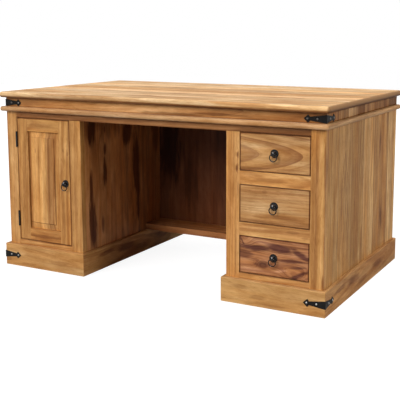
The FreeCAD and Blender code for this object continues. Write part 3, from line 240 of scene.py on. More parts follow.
BOARDS = {
    "desktop": {
        "lay": "flat", "tone": "top", "seed": 2.0, "ring": 0.014, "pith_side": 0.0, "pith_depth": 0.04,
        "spread": 0.08, "plank_tone": 0.55, "seams": TOP_SEAMS, "shine": 0.1, "contrast": 1.15,
        "lines": 0.9, "end_grain_and_nose_shade": True, "seam_width": 0.003,
        "patches": ((-0.45, 0.0, 0.3, 0.4, -0.2), (0.05, -0.1, 0.3, 0.2, 0.1),
                    (-0.1, -0.3, 0.75, 0.04, -0.45), (-0.35, -0.05, 0.35, 0.02, 0.35),
                    (0.3, -0.14, 0.35, 0.02, -0.3), (0.05, -0.085, 0.2, 0.012, 0.3),
                    (-0.2, 0.1, 0.4, 0.03, 0.25), (0.45, 0.05, 0.3, 0.02, 0.25),
                    (0.1, 0.3, 0.5, 0.03, -0.2), (-0.4, 0.36, 0.3, 0.02, 0.3)),
    },
    # The frieze's last patch is painted shade under the top's nose, towards the right end.
    "frieze_front": {
        "tone": "frieze", "seed": 3.0, "pith_side": 0.0, "slope": 0.045, "wave": 0.009, "grime": 0.55,
        "heart_tint": BROWN_TINT,
        "patches": ((0.12, -0.013, 0.16, 0.007, 0.85), (0.31, -0.006, 0.14, 0.008, 0.85),
                    (0.57, 0.0, 0.26, 0.05, 0.45), (-0.66, 0.0, 0.13, 0.03, 0.5),
                    (0.33, 0.0, 0.1, 0.03, 0.25), (0.0, 0.0, 0.35, 0.03, -0.35),
                    (0.5, 0.026, 0.35, 0.02, 0.5)),
    },
    "frieze_sides": {
        "lay": "side_up", "fold": "pair", "tone": "frieze_side", "seed": 4.0, "plank_tone": 0.9,
        "seams": (-0.3, -0.21, -0.1, -0.02, 0.1, 0.19, 0.3), "shine": 0.15, "grime": 0.7,
        "patches": ((0.0, -0.36, 0.05, 0.05, 0.5), (0.0, -0.25, 0.03, 0.02, 0.6),
                    (0.0, 0.03, 0.03, 0.02, 0.7), (0.0, 0.15, 0.03, 0.015, -0.5),
                    (0.0, 0.25, 0.03, 0.03, 0.7)),
    },
    "frieze_back": {"tone": "frieze", "seed": 5.0},
    "moulding_front": {"tone": "moulding", "seed": 6.0, "shine": 0.1},
    "moulding_sides": {"lay": "side_long", "fold": "pair", "tone": "moulding_side", "seed": 7.0},
    "moulding_back": {"tone": "moulding", "seed": 8.0},
    # Painted shade from the moulding: a dark tone, grime and shade along the edges, and the patch over the
    # door. The patch over the drawers is heartwood.
    "front_top_rail": {
        "tone": "top_rail", "seed": 9.0, "heart": 0.6, "grime": 0.6, "heart_tint": BROWN_TINT,
        "patches": ((0.54, 0.0, 0.2, 0.06, 0.45), (-0.54, 0.01, 0.15, 0.012, 0.3)),
    },
    "bottom_rails": {"seed": 10.0, "heart": 0.8, "grime": 0.5},
    "drawer_rails": {
        "seed": 11.0, "seams": (0.0,), "wave": 0.01,
        "patches": ((-0.005, 0.092, 0.07, 0.011, 0.45), (0.08, 0.082, 0.05, 0.007, 0.35),
                    (-0.106, 0.112, 0.04, 0.008, -0.4), (0.074, -0.09, 0.03, 0.007, 0.45),
                    (0.122, -0.105, 0.02, 0.006, 0.4), (-0.076, -0.088, 0.06, 0.01, -0.3)),
    },
    "left_outer_stile": {"lay": "front_up", "seed": 12.0, "patches": ((0.05, 0.006, 0.4, 0.014, -0.5),)},
    "left_inner_stile": {
        "lay": "front_up", "tone": "warm_stile", "seed": 13.0, "contrast": 0.7, "lines": 0.4,
        "patches": ((0.0, 0.0, 0.6, 0.06, 0.16), (0.16, 0.02, 0.1, 0.006, -0.35),
                    (-0.1, -0.01, 0.2, 0.01, 0.2)),
    },
    "right_inner_stile": {
        "lay": "front_up", "seed": 14.0, "wave": 0.012,
        "knots": ((0.187, 0.018, 0.016, 0.007, 0.012, 0.5), (0.135, 0.017, 0.016, 0.007, 0.012, 0.5)),
        "patches": ((0.15, 0.019, 0.13, 0.009, -0.6), (-0.209, 0.022, 0.12, 0.006, -0.45),
                    (-0.209, 0.013, 0.13, 0.002, 0.7), (0.187, 0.02, 0.016, 0.004, 0.9),
                    (0.135, 0.017, 0.018, 0.005, 0.9), (0.06, 0.021, 0.03, 0.003, 0.6),
                    (0.0, -0.012, 0.2, 0.006, 0.25)),
    },
    "right_outer_stile": {
        "lay": "front_up", "tone": "warm_stile", "seed": 15.0,
        # The pale patch along the right edge is sapwood and a painted highlight on the rounded corner.
        "patches": ((0.127, -0.002, 0.07, 0.006, 0.5), (0.15, 0.025, 0.1, 0.0035, 0.6),
                    (-0.05, 0.02, 0.24, 0.0085, -0.65), (-0.265, 0.023, 0.03, 0.004, 0.8),
                    (-0.06, -0.01, 0.3, 0.018, 0.35)),
    },
    "left_outer_side": {
        **SIDE_BOARDS, "lay": "side_up", "seed": 16.0,
        "lenses": ((0.08, 0.168, 0.24, 0.036, 0.7), (-0.12, -0.09, 0.28, 0.055, 0.8)),
        "patches": ((-0.1, 0.25, 0.05, 0.012, 0.7), (0.12, -0.2, 0.06, 0.012, 0.5),
                    (0.05, 0.03, 0.2, 0.025, -0.25)),
    },
    "right_outer_side": {
        **SIDE_BOARDS, "lay": "side_up", "seed": 17.0,
        "knots": ((-0.151, 0.233, 0.05, 0.014, 0.012, 0.4),),
        "lenses": ((-0.012, -0.236, 0.23, 0.05, 0.9),),
        "patches": ((-0.151, 0.233, 0.06, 0.018, 1.0), (0.161, 0.197, 0.08, 0.014, 1.0),
                    (0.083, -0.406, 0.04, 0.015, 0.4), (0.024, 0.375, 0.4, 0.03, 0.4),
                    (0.2, -0.27, 0.1, 0.03, -0.35), (-0.15, -0.1, 0.15, 0.02, -0.25),
                    (0.0, -0.34, 0.25, 0.03, -0.25)),
    },
    "left_inner_side": {
        **KNEEHOLE_SIDE, **FLAMED, "seed": 18.0, "heart": 0.3, "shine": 0.25,
        # Its first two patches are painted shade: darker towards the back and along the top, deep under the
        # desk.
        "patches": ((0.0, 0.32, 1.4, 0.45, 0.5), (0.29, 0.0, 0.12, 1.5, 0.6),
                    (0.22, -0.368, 0.075, 0.04, 1.0), (-0.04, -0.378, 0.1, 0.012, 1.0),
                    (-0.17, -0.372, 0.13, 0.03, 1.0), (0.214, -0.277, 0.02, 0.008, 0.9),
                    (0.131, -0.275, 0.03, 0.01, 1.0), (0.023, -0.278, 0.065, 0.013, 1.0),
                    (0.0, -0.037, 0.25, 0.03, 1.0, -0.05), (0.18, -0.11, 0.06, 0.05, 1.0),
                    (0.15, 0.13, 0.13, 0.045, 0.8), (-0.2, -0.3, 0.05, 0.01, 0.7),
                    (-0.05, -0.2, 0.2, 0.05, -0.3)),
    },
    "right_inner_side": {
        **KNEEHOLE_SIDE, "seed": 19.0, "heart": 0.8, "ring": 0.012,
        "patches": ((0.05, 0.1, 0.25, 0.03, 0.9), (-0.1, -0.25, 0.15, 0.02, 0.9)),
    },
    "modesty_panel": {
        "lay": "front_up", "tone": "modesty", "seed": 20.0, "seams": (-0.2, -0.06, 0.09, 0.21),
        **FLAMED, "spread": 0.06, "plank_tone": 0.25, "shine": 0.22,
        "patches": ((0.06, -0.28, 0.2, 0.07, 0.9), (-0.1, -0.17, 0.15, 0.05, 0.5),
                    (0.2, 0.05, 0.1, 0.15, 0.4)),
    },
    "foot_shelf": {"lay": "flat", "tone": "foot_shelf", "seed": 21.0, "heart": 0.3},
    "pedestal_backs": {
        **SIDE_BOARDS, "lay": "front_up", "seed": 22.0,
        "seams": (-0.59, -0.46, 0.0, 0.48, 0.6),
    },
    "pedestal_tops": {"lay": "flat", "tone": "inner", "seed": 23.0},
    "cabinet_floor": {"lay": "flat", "tone": "inner", "seed": 24.0},
    "cabinet_shelf": {"lay": "flat", "tone": "inner", "seed": 25.0},
    "drawer_runners": {"lay": "flat_deep", "tone": "inner", "seed": 26.0},
    "drawer_stops": {"lay": "flat_deep", "tone": "inner", "seed": 27.0},
    "plinth_fronts": {
        "tone": "plinth", "seed": 28.0, "ring": 0.009, "pith_side": 0.0, "pith_depth": 0.05, "heart": 0.25,
        "wave": 0.012, "contrast": 0.4, "lines": 0.2,
        "patches": ((-0.534, 0.0, 0.3, 0.09, 0.16), (-0.448, -0.007, 0.06, 0.012, 0.5, 0.1),
                    (-0.733, -0.023, 0.025, 0.01, 0.5), (-0.615, -0.034, 0.05, 0.008, 0.5),
                    (-0.55, 0.03, 0.1, 0.004, 0.5, -0.08), (-0.68, 0.01, 0.05, 0.012, -0.35),
                    (-0.5, -0.03, 0.04, 0.01, -0.35), (0.48, -0.01, 0.03, 0.012, 0.4),
                    (0.4, 0.02, 0.04, 0.01, 0.3), (0.55, -0.035, 0.06, 0.007, 0.45),
                    (0.62, 0.01, 0.06, 0.015, -0.35), (0.42, -0.03, 0.05, 0.012, -0.3)),
    },
    "plinth_sides": {
        "lay": "side_long", "fold": "four", "tone": "plinth_side", "seed": 29.0, "pith_side": 0.0,
        "pith_depth": 0.05, "wave": 0.015, "heart": 0.7, "shine": 0.15,
        "patches": ((-0.13, 0.012, 0.07, 0.02, 0.8), (-0.282, 0.016, 0.06, 0.014, 0.8),
                    (0.172, 0.0, 0.07, 0.018, 0.6), (-0.02, -0.015, 0.08, 0.014, 0.5),
                    (-0.21, -0.02, 0.05, 0.014, -0.3)),
    },
    "plinth_backs": {"tone": "plinth", "seed": 30.0},
    "door_hinge_stile": {
        "lay": "front_up", **DOOR_FRAME, "seed": 31.0,
        "patches": ((0.0, 0.0, 0.5, 0.05, 0.22), (0.1, 0.012, 0.12, 0.003, 0.5),
                    (-0.14, -0.012, 0.1, 0.004, 0.5)),
    },
    "door_lock_stile": {
        "lay": "front_up", **DOOR_FRAME, "seed": 32.0, "wave": 0.012,
        "patches": ((0.134, 0.004, 0.05, 0.02, -0.4), (0.138, -0.006, 0.009, 0.004, 0.6),
                    (0.125, 0.017, 0.008, 0.004, 0.5), (-0.15, -0.008, 0.1, 0.008, 0.3)),
    },
    "door_top_rail": {
        **DOOR_FRAME, "seed": 33.0, "pith_side": 0.0, "slope": 0.12,
        "patches": ((0.0, 0.0, 0.07, 0.01, 0.45),),
    },
    "door_bottom_rail": {
        **DOOR_FRAME, "seed": 34.0, "pith_side": 0.0,
        "patches": ((0.006, 0.018, 0.1, 0.005, -0.4), (0.006, -0.004, 0.11, 0.008, 0.65)),
    },
    "door_panel": {
        "lay": "front_up", "tone": "door", "seed": 35.0, "seams": (0.012,), "rim": 0.0352,
        "patches": ((0.0, -0.035, 0.6, 0.045, -0.75), (-0.01, 0.038, 0.5, 0.02, 0.4),
                    (0.128, -0.044, 0.012, 0.004, 0.5), (0.03, -0.028, 0.12, 0.004, 0.35)),
    },
    "top_drawer_front": {
        "tone": "plain_drawer", "seed": 36.0, "ring": 0.0078, "pith_depth": 0.07, "slope": 0.105,
        "pith_side": -0.006, "spread": 0.0, "wave": 0.005, "lines": 1.2, "heart": 0.3, **DRAWER_EDGE,
        "patches": ((-0.06, 0.0, 0.08, 0.035, -0.2), (-0.05, -0.06, 0.1, 0.006, 0.4),
                    (0.05, -0.056, 0.08, 0.004, 0.4), (0.1, 0.055, 0.05, 0.006, 0.3)),
    },
    "middle_drawer_front": {
        "tone": "plain_drawer", "seed": 37.0, "contrast": 0.7, "pith_side": 0.12, "lines": 0.3,
        "ring": 0.008, "wave": 0.022, **DRAWER_EDGE,
        "patches": ((-0.099, 0.05, 0.012, 0.006, 0.4), (-0.038, 0.051, 0.01, 0.006, 0.35),
                    (-0.076, -0.053, 0.05, 0.006, -0.6), (-0.01, -0.063, 0.1, 0.005, 0.5),
                    (0.078, -0.05, 0.05, 0.004, 0.4), (0.0, 0.01, 0.14, 0.045, -0.4)),
    },
    "bottom_drawer_front": {
        "tone": "dark_drawer", "seed": 38.0, "ring": 0.006, "wave": 0.012, "heart": 0.3, "pith_side": -0.02,
        "pith_depth": 0.02, "spread": 0.0, "heart_tint": PURPLE_TINT, **DRAWER_EDGE,
        "knots": ((-0.043, -0.03, 0.022, 0.012, 0.02, 0.3), (-0.12, 0.055, 0.035, 0.03, 0.03, 0.0),
                  (0.085, -0.06, 0.05, 0.03, -0.03, 0.0), (0.02, 0.02, 0.12, 0.03, 0.015, 0.0)),
        "patches": ((-0.128, 0.05, 0.014, 0.009, 0.9, -1.4), (-0.07, 0.031, 0.085, 0.014, 1.0),
                    (0.028, 0.034, 0.065, 0.02, 1.0, 0.0), (0.105, 0.026, 0.05, 0.015, 1.0, -0.4),
                    (0.07, -0.004, 0.07, 0.009, 0.9, 0.05), (0.1, -0.024, 0.045, 0.007, 0.8, 0.12),
                    (0.1, -0.052, 0.045, 0.011, 1.0, 0.45), (0.08, -0.068, 0.03, 0.008, 1.0, 0.5),
                    (-0.12, 0.004, 0.035, 0.018, 0.7), (-0.043, -0.03, 0.03, 0.014, 0.75),
                    (-0.06, 0.058, 0.055, 0.01, -0.8, -0.1), (0.1, 0.062, 0.045, 0.008, -0.8, -0.2),
                    (0.03, -0.045, 0.03, 0.008, -0.9, 0.25), (-0.09, -0.055, 0.06, 0.012, -0.9)),
    },
}
# Seeds of the drawers' inner boards count on from here.
DRAWER_SEED = 40.0
for drawer in DRAWERS:
    BOARDS[drawer + "_box"] = {"lay": "side_long", "fold": "drawer", "tone": "inner",
                               "seed": DRAWER_SEED + len(BOARDS)}
    BOARDS[drawer + "_bottom"] = {"lay": "flat", "tone": "inner", "seed": DRAWER_SEED + len(BOARDS)}


class Wiring:
    """Adds nodes to one node tree and joins them. A value is a socket, a number or a plain vector."""

    def __init__(self, tree):
        self.tree = tree

    def node(self, kind, **settings):
        made = self.tree.nodes.new(kind)
        for name, value in settings.items():
            setattr(made, name, value)
        return made

    def feed(self, socket, value):
        if isinstance(value, bpy.types.NodeSocket):
            self.tree.links.new(value, socket)
        else:
            socket.default_value = value

    def reckon(self, kind, operation, *values):
        made = self.node(kind, operation=operation)
        for socket, value in zip(made.inputs, values):
            self.feed(socket, value)
        return made.outputs[0]

    math = partialmethod(reckon, "ShaderNodeMath")
    plus = partialmethod(math, "ADD")
    minus = partialmethod(math, "SUBTRACT")
    times = partialmethod(math, "MULTIPLY")
    times_plus = partialmethod(math, "MULTIPLY_ADD")
    over = partialmethod(math, "DIVIDE")
    power = partialmethod(math, "POWER")
    absolute = partialmethod(math, "ABSOLUTE")
    larger = partialmethod(math, "MAXIMUM")
    smaller = partialmethod(math, "MINIMUM")
    above = partialmethod(math, "GREATER_THAN")
    vector = partialmethod(reckon, "ShaderNodeVectorMath")

    def scaled(self, colour, factor):
        """A colour or vector times a number."""
        made = self.node("ShaderNodeVectorMath", operation="SCALE")
        self.feed(made.inputs["Vector"], colour)
        self.feed(made.inputs["Scale"], factor)
        return made.outputs[0]

    def split(self, vector):
        made = self.node("ShaderNodeSeparateXYZ")
        self.feed(made.inputs[0], vector)
        return made.outputs[0], made.outputs[1], made.outputs[2]

    def join(self, x, y, z):
        made = self.node("ShaderNodeCombineXYZ")
        for socket, value in zip(made.inputs, (x, y, z)):
            self.feed(socket, value)
        return made.outputs[0]

    def blend(self, factor, first, second):
        """First colour where the factor is 0, second where it is 1."""
        made = self.node("ShaderNodeMix", data_type="RGBA")
        for index, value in zip((0, 6, 7), (factor, first, second)):
            self.feed(made.inputs[index], value)
        return made.outputs[2]

    def tinted(self, mask, colour, tint):
        """The colour, multiplied by a tint where the mask is 1."""
        return self.blend(mask, colour, self.vector("MULTIPLY", colour, tint))

    def rise(self, value, low, high):
        """0 below low, 1 above high, and a smooth step between."""
        made = self.node("ShaderNodeMapRange", interpolation_type="SMOOTHSTEP")
        for name, entry in (("Value", value), ("From Min", low), ("From Max", high)):
            self.feed(made.inputs[name], entry)
        return made.outputs[0]

    def fall(self, value, low, high):
        """1 below low, 0 above high, and a smooth step between."""
        return self.minus(1.0, self.rise(value, low, high))

    def noise(self, vector, scales, detail=2.0, roughness=0.5, distortion=0.0):
        """Cloudy noise about 0.5, stretched by a scale for each axis."""
        made = self.node("ShaderNodeTexNoise", noise_dimensions="3D")
        self.feed(made.inputs["Vector"], self.vector("MULTIPLY", vector, scales))
        for name, entry in (("Scale", 1.0), ("Detail", detail), ("Roughness", roughness),
                            ("Distortion", distortion)):
            made.inputs[name].default_value = entry
        return made.outputs[0]

    def line_noise(self, along):
        """Noise about 0.5 along one number, with bumps about one unit long."""
        made = self.node("ShaderNodeTexNoise", noise_dimensions="1D")
        self.feed(made.inputs["W"], along)
        for name, entry in (("Scale", 1.0), ("Detail", 2.0), ("Roughness", 0.5)):
            made.inputs[name].default_value = entry
        return made.outputs[0]

    def group(self, tree, values):
        made = self.node("ShaderNodeGroup", node_tree=tree)
        for name, value in values.items():
            self.feed(made.inputs[name], value)
        return made.outputs


def new_group(name, inputs, outputs):
    """An empty shader node group: its wiring, its input sockets by name and its output node."""
    tree = bpy.data.node_groups.new(name, "ShaderNodeTree")
    for in_out, sockets in (("INPUT", inputs), ("OUTPUT", outputs)):
        for label, kind in sockets.items():
            tree.interface.new_socket(label, in_out=in_out, socket_type="NodeSocket" + kind)
    wires = Wiring(tree)
    start = wires.node("NodeGroupInput")
    return wires, start.outputs, wires.node("NodeGroupOutput").inputs


def new_spot(name, more, outputs):
    """An empty group for a knot, lens or patch, and the ways along and across from its centre."""
    inputs = {"Vector": "Vector", "Centre": "Vector"}
    for label in ("Along", "Across", *more):
        inputs[label] = "Float"
    wires, given, result = new_group(name, inputs, {label: "Float" for label in outputs})
    along, across = wires.split(wires.vector("SUBTRACT", given["Vector"], given["Centre"]))[:2]
    return wires, given, result, along, across


def make_sawn_board():
    """Sawn wood, from a board's own frame: X along the grain, Y across the face, Z through the thickness.

    Growth rings are shells about a slightly tilted pith line: the ring number is the distance to that
    line, plus slow waves and the push of knots, over the ring width. Noise along the ring number makes
    soft rings, thin late-wood lines and heartwood bands of uneven strength. Streaks, flames, fibres and
    pores are noise stretched along X and bent by the same waves. Planks differ by chance in pith, tone
    and hue. Darker wood is also redder: the shade is raised to a higher power in green and blue than in red.
    """
    inputs = {"Vector": "Vector", "Push": "Float", "Board": "Float"}
    for label in GRAIN_INPUTS:
        inputs[label] = "Float"
    for label in ("Pale", "Ring", "Heartwood"):
        inputs[label] = "Color"
    wires, given, result = new_group("Sawn board", inputs, SURFACE)
    along, across, through = wires.split(given["Vector"])

    # Each board and plank has chances and a place in the noise of its own.
    draw = wires.node("ShaderNodeTexWhiteNoise", noise_dimensions="1D")
    shift = wires.times_plus(given["Board"], 3.17, wires.times(given["Seed"], 7.31))
    wires.feed(draw.inputs["W"], shift)
    chance_side, chance_depth, chance_tone = wires.split(draw.outputs["Color"])
    place = wires.vector("ADD", given["Vector"],
                         wires.join(shift, wires.times(shift, 0.63), wires.times(shift, 0.41)))

    # The distance to the pith, with waves, in rings.
    slow = wires.minus(wires.noise(place, (1.6, 6.0, 6.0)), 0.5)
    quick = wires.minus(wires.noise(place, (6.0, 26.0, 26.0)), 0.5)
    wave = wires.times(wires.times_plus(quick, 0.45, wires.times(slow, 2.0)), given["Wave"])
    side = wires.times_plus(wires.minus(chance_side, 0.5), given["Spread"],
                            wires.minus(across, given["Pith Side"]))
    depth = wires.times_plus(given["Slope"], along, wires.plus(through, given["Pith Depth"]))
    depth = wires.times_plus(wires.minus(chance_depth, 0.5), given["Spread"], depth)
    to_pith = wires.math("SQRT", wires.times_plus(side, side, wires.times(depth, depth)))
    to_pith = wires.plus(wires.plus(to_pith, wave), given["Push"])
    ring = wires.times_plus(shift, 11.0, wires.over(to_pith, given["Ring Width"]))

    # Soft rings, and late-wood lines that are uneven in width and strength.
    soft = wires.rise(wires.line_noise(ring), 0.42, 0.6)
    uneven = wires.times(wires.line_noise(wires.times(ring, 0.21)), 0.8)
    late = wires.power(wires.math("FRACT", wires.times_plus(ring, 0.55, uneven)), 4.0)
    strong = wires.rise(wires.line_noise(wires.times_plus(ring, 0.37, 40.0)), 0.38, 0.66)
    lines = wires.times(wires.times(late, strong), given["Lines"])
    figure = wires.smaller(wires.times(wires.times(soft, 0.65), given["Contrast"]), 1.0)

    # Heartwood, sapwood and finer grain, bent like the rings.
    bend = wires.times_plus(wave, 2.2, wires.times(given["Push"], 0.8))
    grain = wires.vector("ADD", place, wires.join(0.0, bend, 0.0))
    bands = wires.rise(wires.line_noise(wires.times_plus(ring, 0.13, 90.0)), 0.5, 0.68)
    clouds = wires.rise(wires.noise(grain, (2.2, 19.0, 19.0), 4.0, 0.6, 0.8), 0.54, 0.7)
    heart = wires.times(wires.larger(bands, clouds), given["Heart"])
    heart = wires.times(heart, wires.times_plus(figure, 0.5, 0.5))
    sap_grain = wires.vector("ADD", grain, (4.7, 1.9, 8.3))
    sap = wires.rise(wires.noise(sap_grain, (1.8, 15.0, 15.0), 4.0, 0.6, 0.8), 0.52, 0.68)
    streak = wires.noise(grain, (3.0, 95.0, 95.0), 5.0, 0.7)
    flame = wires.noise(grain, (4.0, 22.0, 22.0), 4.0, 0.6, 0.9)
    fibre = wires.noise(grain, (14.0, 620.0, 620.0))
    pore = wires.rise(wires.noise(grain, (45.0, 1150.0, 1150.0), 0.0), 0.66, 0.78)
    mottle = wires.noise(place, (11.0, 24.0, 24.0), 4.0, 0.6, 0.5)
    warm = wires.rise(wires.noise(grain, (1.3, 16.0, 16.0), 3.0), 0.42, 0.64)

    # All of it together, from the broad colours to the fine shade.
    colour = wires.blend(figure, given["Pale"], given["Ring"])
    colour = wires.blend(wires.larger(heart, lines), colour, given["Heartwood"])
    colour = wires.tinted(warm, colour, WARM_TINT)
    colour = wires.tinted(wires.times(sap, given["Sap"]), colour, SAP_TINT)
    shade = wires.times_plus(wires.minus(chance_tone, 0.5), given["Plank Tone"], 1.0)
    for value, amount in ((streak, 0.55), (flame, 0.85), (fibre, 0.2), (mottle, 0.6)):
        shade = wires.times(shade, wires.times_plus(value, amount, 1.0 - amount / 2))
    shade = wires.times(shade, wires.times_plus(pore, -0.3, 1.0))
    hue = wires.times(wires.minus(chance_depth, 0.5), given["Plank Tone"])
    hues = wires.join(1.0, wires.times_plus(hue, 0.25, 1.0), wires.times_plus(hue, 0.6, 1.0))
    shades = wires.join(shade, wires.power(shade, GREEN_DARKENING), wires.power(shade, BLUE_DARKENING))
    colour = wires.vector("MULTIPLY", wires.vector("MULTIPLY", colour, hues), shades)
    rough = wires.times_plus(fibre, 0.12, wires.times_plus(pore, 0.14, 0.4))
    height = wires.times_plus(fibre, 0.5, wires.times_plus(pore, -0.8, wires.times(streak, 0.4)))
    for label, value in (("Colour", colour), ("Roughness", rough), ("Height", height)):
        wires.feed(result[label], value)
    return wires.tree


def make_knot():
    """A knot in a board's frame: a bell-shaped push on the rings over an ellipse, and its dark core."""
    wires, given, result, along, across = new_spot("Knot", ("Strength", "Dark"), ("Push", "Core"))
    along = wires.over(along, given["Along"])
    across = wires.over(across, given["Across"])
    distance = wires.times_plus(along, along, wires.times(across, across))
    bell = wires.math("EXPONENT", wires.times(distance, -1.0))
    wires.feed(result["Push"], wires.times(bell, given["Strength"]))
    wires.feed(result["Core"], wires.times(wires.rise(bell, 0.6, 0.95), given["Dark"]))
    return wires.tree


def make_lens():
    """A lens of nested growth lines in a board's frame, with its points along the grain.

    The lines are contours of the distance across plus the square of the distance along, both in shares of
    the lens's half sizes, bent by noise. They fade outside the lens.
    """
    wires, given, result, along, across = new_spot("Lens", (), ("Mask",))
    along = wires.over(along, given["Along"])
    across = wires.absolute(wires.over(across, given["Across"]))
    wavy = wires.minus(wires.noise(given["Vector"], (6.0, 26.0, 26.0), 3.0, 0.6), 0.5)
    reach = wires.times_plus(wavy, LENS_WAVE, wires.times_plus(along, along, across))
    line = wires.power(wires.math("FRACT", wires.times(reach, LENS_LINES)), LENS_SHARPNESS)
    wires.feed(result["Mask"], wires.times(line, wires.fall(reach, 0.8, 1.3)))
    return wires.tree


def make_patch():
    """A patch of other wood in a board's frame: an ellipse along the grain with a feathered, wavy border."""
    wires, given, result, along, across = new_spot("Patch", ("Slant",), ("Mask",))
    across = wires.minus(across, wires.times(along, given["Slant"]))
    along = wires.over(along, given["Along"])
    across = wires.over(across, given["Across"])
    distance = wires.math("SQRT", wires.times_plus(along, along, wires.times(across, across)))
    wavy = wires.minus(wires.noise(given["Vector"], (9.0, 55.0, 55.0), 3.0, 0.6), 0.5)
    distance = wires.times_plus(wavy, PATCH_WAVE, distance)
    wires.feed(result["Mask"], wires.fall(distance, 0.5, 1.2))
    return wires.tree


def make_edge_grime():
    """Old wax and dirt, and painted shade in gaps and under overhangs, along the edges of a box between Low
    and High, both in Object coordinates.

    On a face one distance to the box's planes is nothing, so the second smallest of the three says how
    near an edge is. It is broken up by noise.
    """
    inputs = {"Vector": "Vector", "Low": "Vector", "High": "Vector", "Width": "Float"}
    wires, given, result = new_group("Edge grime", inputs, {"Mask": "Float"})
    inside = wires.vector("MINIMUM", wires.vector("SUBTRACT", given["Vector"], given["Low"]),
                          wires.vector("SUBTRACT", given["High"], given["Vector"]))
    x, y, z = wires.split(inside)
    low_pair = wires.smaller(x, y)
    high_pair = wires.larger(x, y)
    second = wires.larger(low_pair, wires.smaller(high_pair, z))
    patchy = wires.plus(wires.noise(given["Vector"], (24.0, 24.0, 24.0), 3.0), 0.5)
    near = wires.fall(wires.over(second, given["Width"]), 0.2, 1.0)
    wires.feed(result["Mask"], wires.smaller(wires.times(near, patchy), 1.0))
    return wires.tree


def make_forged_iron():
    """Blackened iron: shallow hammer marks, fine pitting, and a thin brown bloom in patches."""
    inputs = {"Vector": "Vector", "Black": "Color", "Bloom": "Color", "Polish": "Float"}
    wires, given, result = new_group("Forged iron", inputs, SURFACE)
    hammer = wires.noise(given["Vector"], (170.0, 170.0, 170.0), 1.0)
    pit = wires.noise(given["Vector"], (900.0, 900.0, 900.0))
    patch = wires.rise(wires.noise(given["Vector"], (60.0, 60.0, 60.0), 3.0), 0.5, 0.72)
    wires.feed(result["Colour"], wires.blend(wires.times(patch, 0.6), given["Black"], given["Bloom"]))
    rough = wires.times_plus(patch, 0.16, wires.times_plus(pit, 0.14, 0.16))
    wires.feed(result["Roughness"], wires.minus(rough, given["Polish"]))
    wires.feed(result["Height"], wires.times_plus(pit, 0.15, hammer))
    return wires.tree


def new_material(name):
    """A new material: itself, its wiring, the inputs of its shader and the Object coordinates."""
    material = bpy.data.materials.new(name)
    material.use_nodes = True
    material.node_tree.nodes.clear()
    wires = Wiring(material.node_tree)
    shader = wires.node("ShaderNodeBsdfPrincipled")
    out = wires.node("ShaderNodeOutputMaterial")
    wires.feed(out.inputs["Surface"], shader.outputs[0])
    return material, wires, shader.inputs, wires.node("ShaderNodeTexCoord").outputs["Object"]


def add_bump(wires, shader, height, strength, distance):
    """Bends a shader's normal by a height, with a strength and a depth."""
    bump = wires.node("ShaderNodeBump")
    bump.inputs["Strength"].default_value = strength
    bump.inputs["Distance"].default_value = distance
    wires.feed(bump.inputs["Height"], height)
    wires.feed(shader["Normal"], bump.outputs[0])


def folded(wires, at, low, high, fold):
    """Object coordinates, folded so that boards that stand in pairs share one place, and its middle."""
    middle = (low + high) / 2
    if fold is None:
        return at, middle
    x, y, z = wires.split(at)
    reach = high.x
    if fold == "four":
        x = wires.absolute(x)
    if fold in ("four", "drawer"):
        x = wires.minus(x, PEDESTAL_MIDDLE)
        reach -= PEDESTAL_MIDDLE
    return wires.join(wires.absolute(x), y, z), Vector((reach - PAIR_HALF_THICKNESS, middle.y, middle.z))


def laid(wires, at, middle, lay):
    """Object coordinates turned and moved to a board's frame."""
    turn = Matrix(LAYS[lay])
    mapping = wires.node("ShaderNodeMapping", vector_type="POINT")
    wires.feed(mapping.inputs["Vector"], at)
    mapping.inputs["Location"].default_value = -(turn @ middle)
    mapping.inputs["Rotation"].default_value = turn.to_euler()
    return mapping.outputs[0]


def spot(wires, tree, place, entry, **more):
    """A knot, lens or patch on a board: its group, with its place along and across and its half sizes."""
    along, across, length, width = entry
    return wires.group(tree, {"Vector": place, "Centre": (along, across, 0.0), "Along": length,
                              "Across": width, **more})


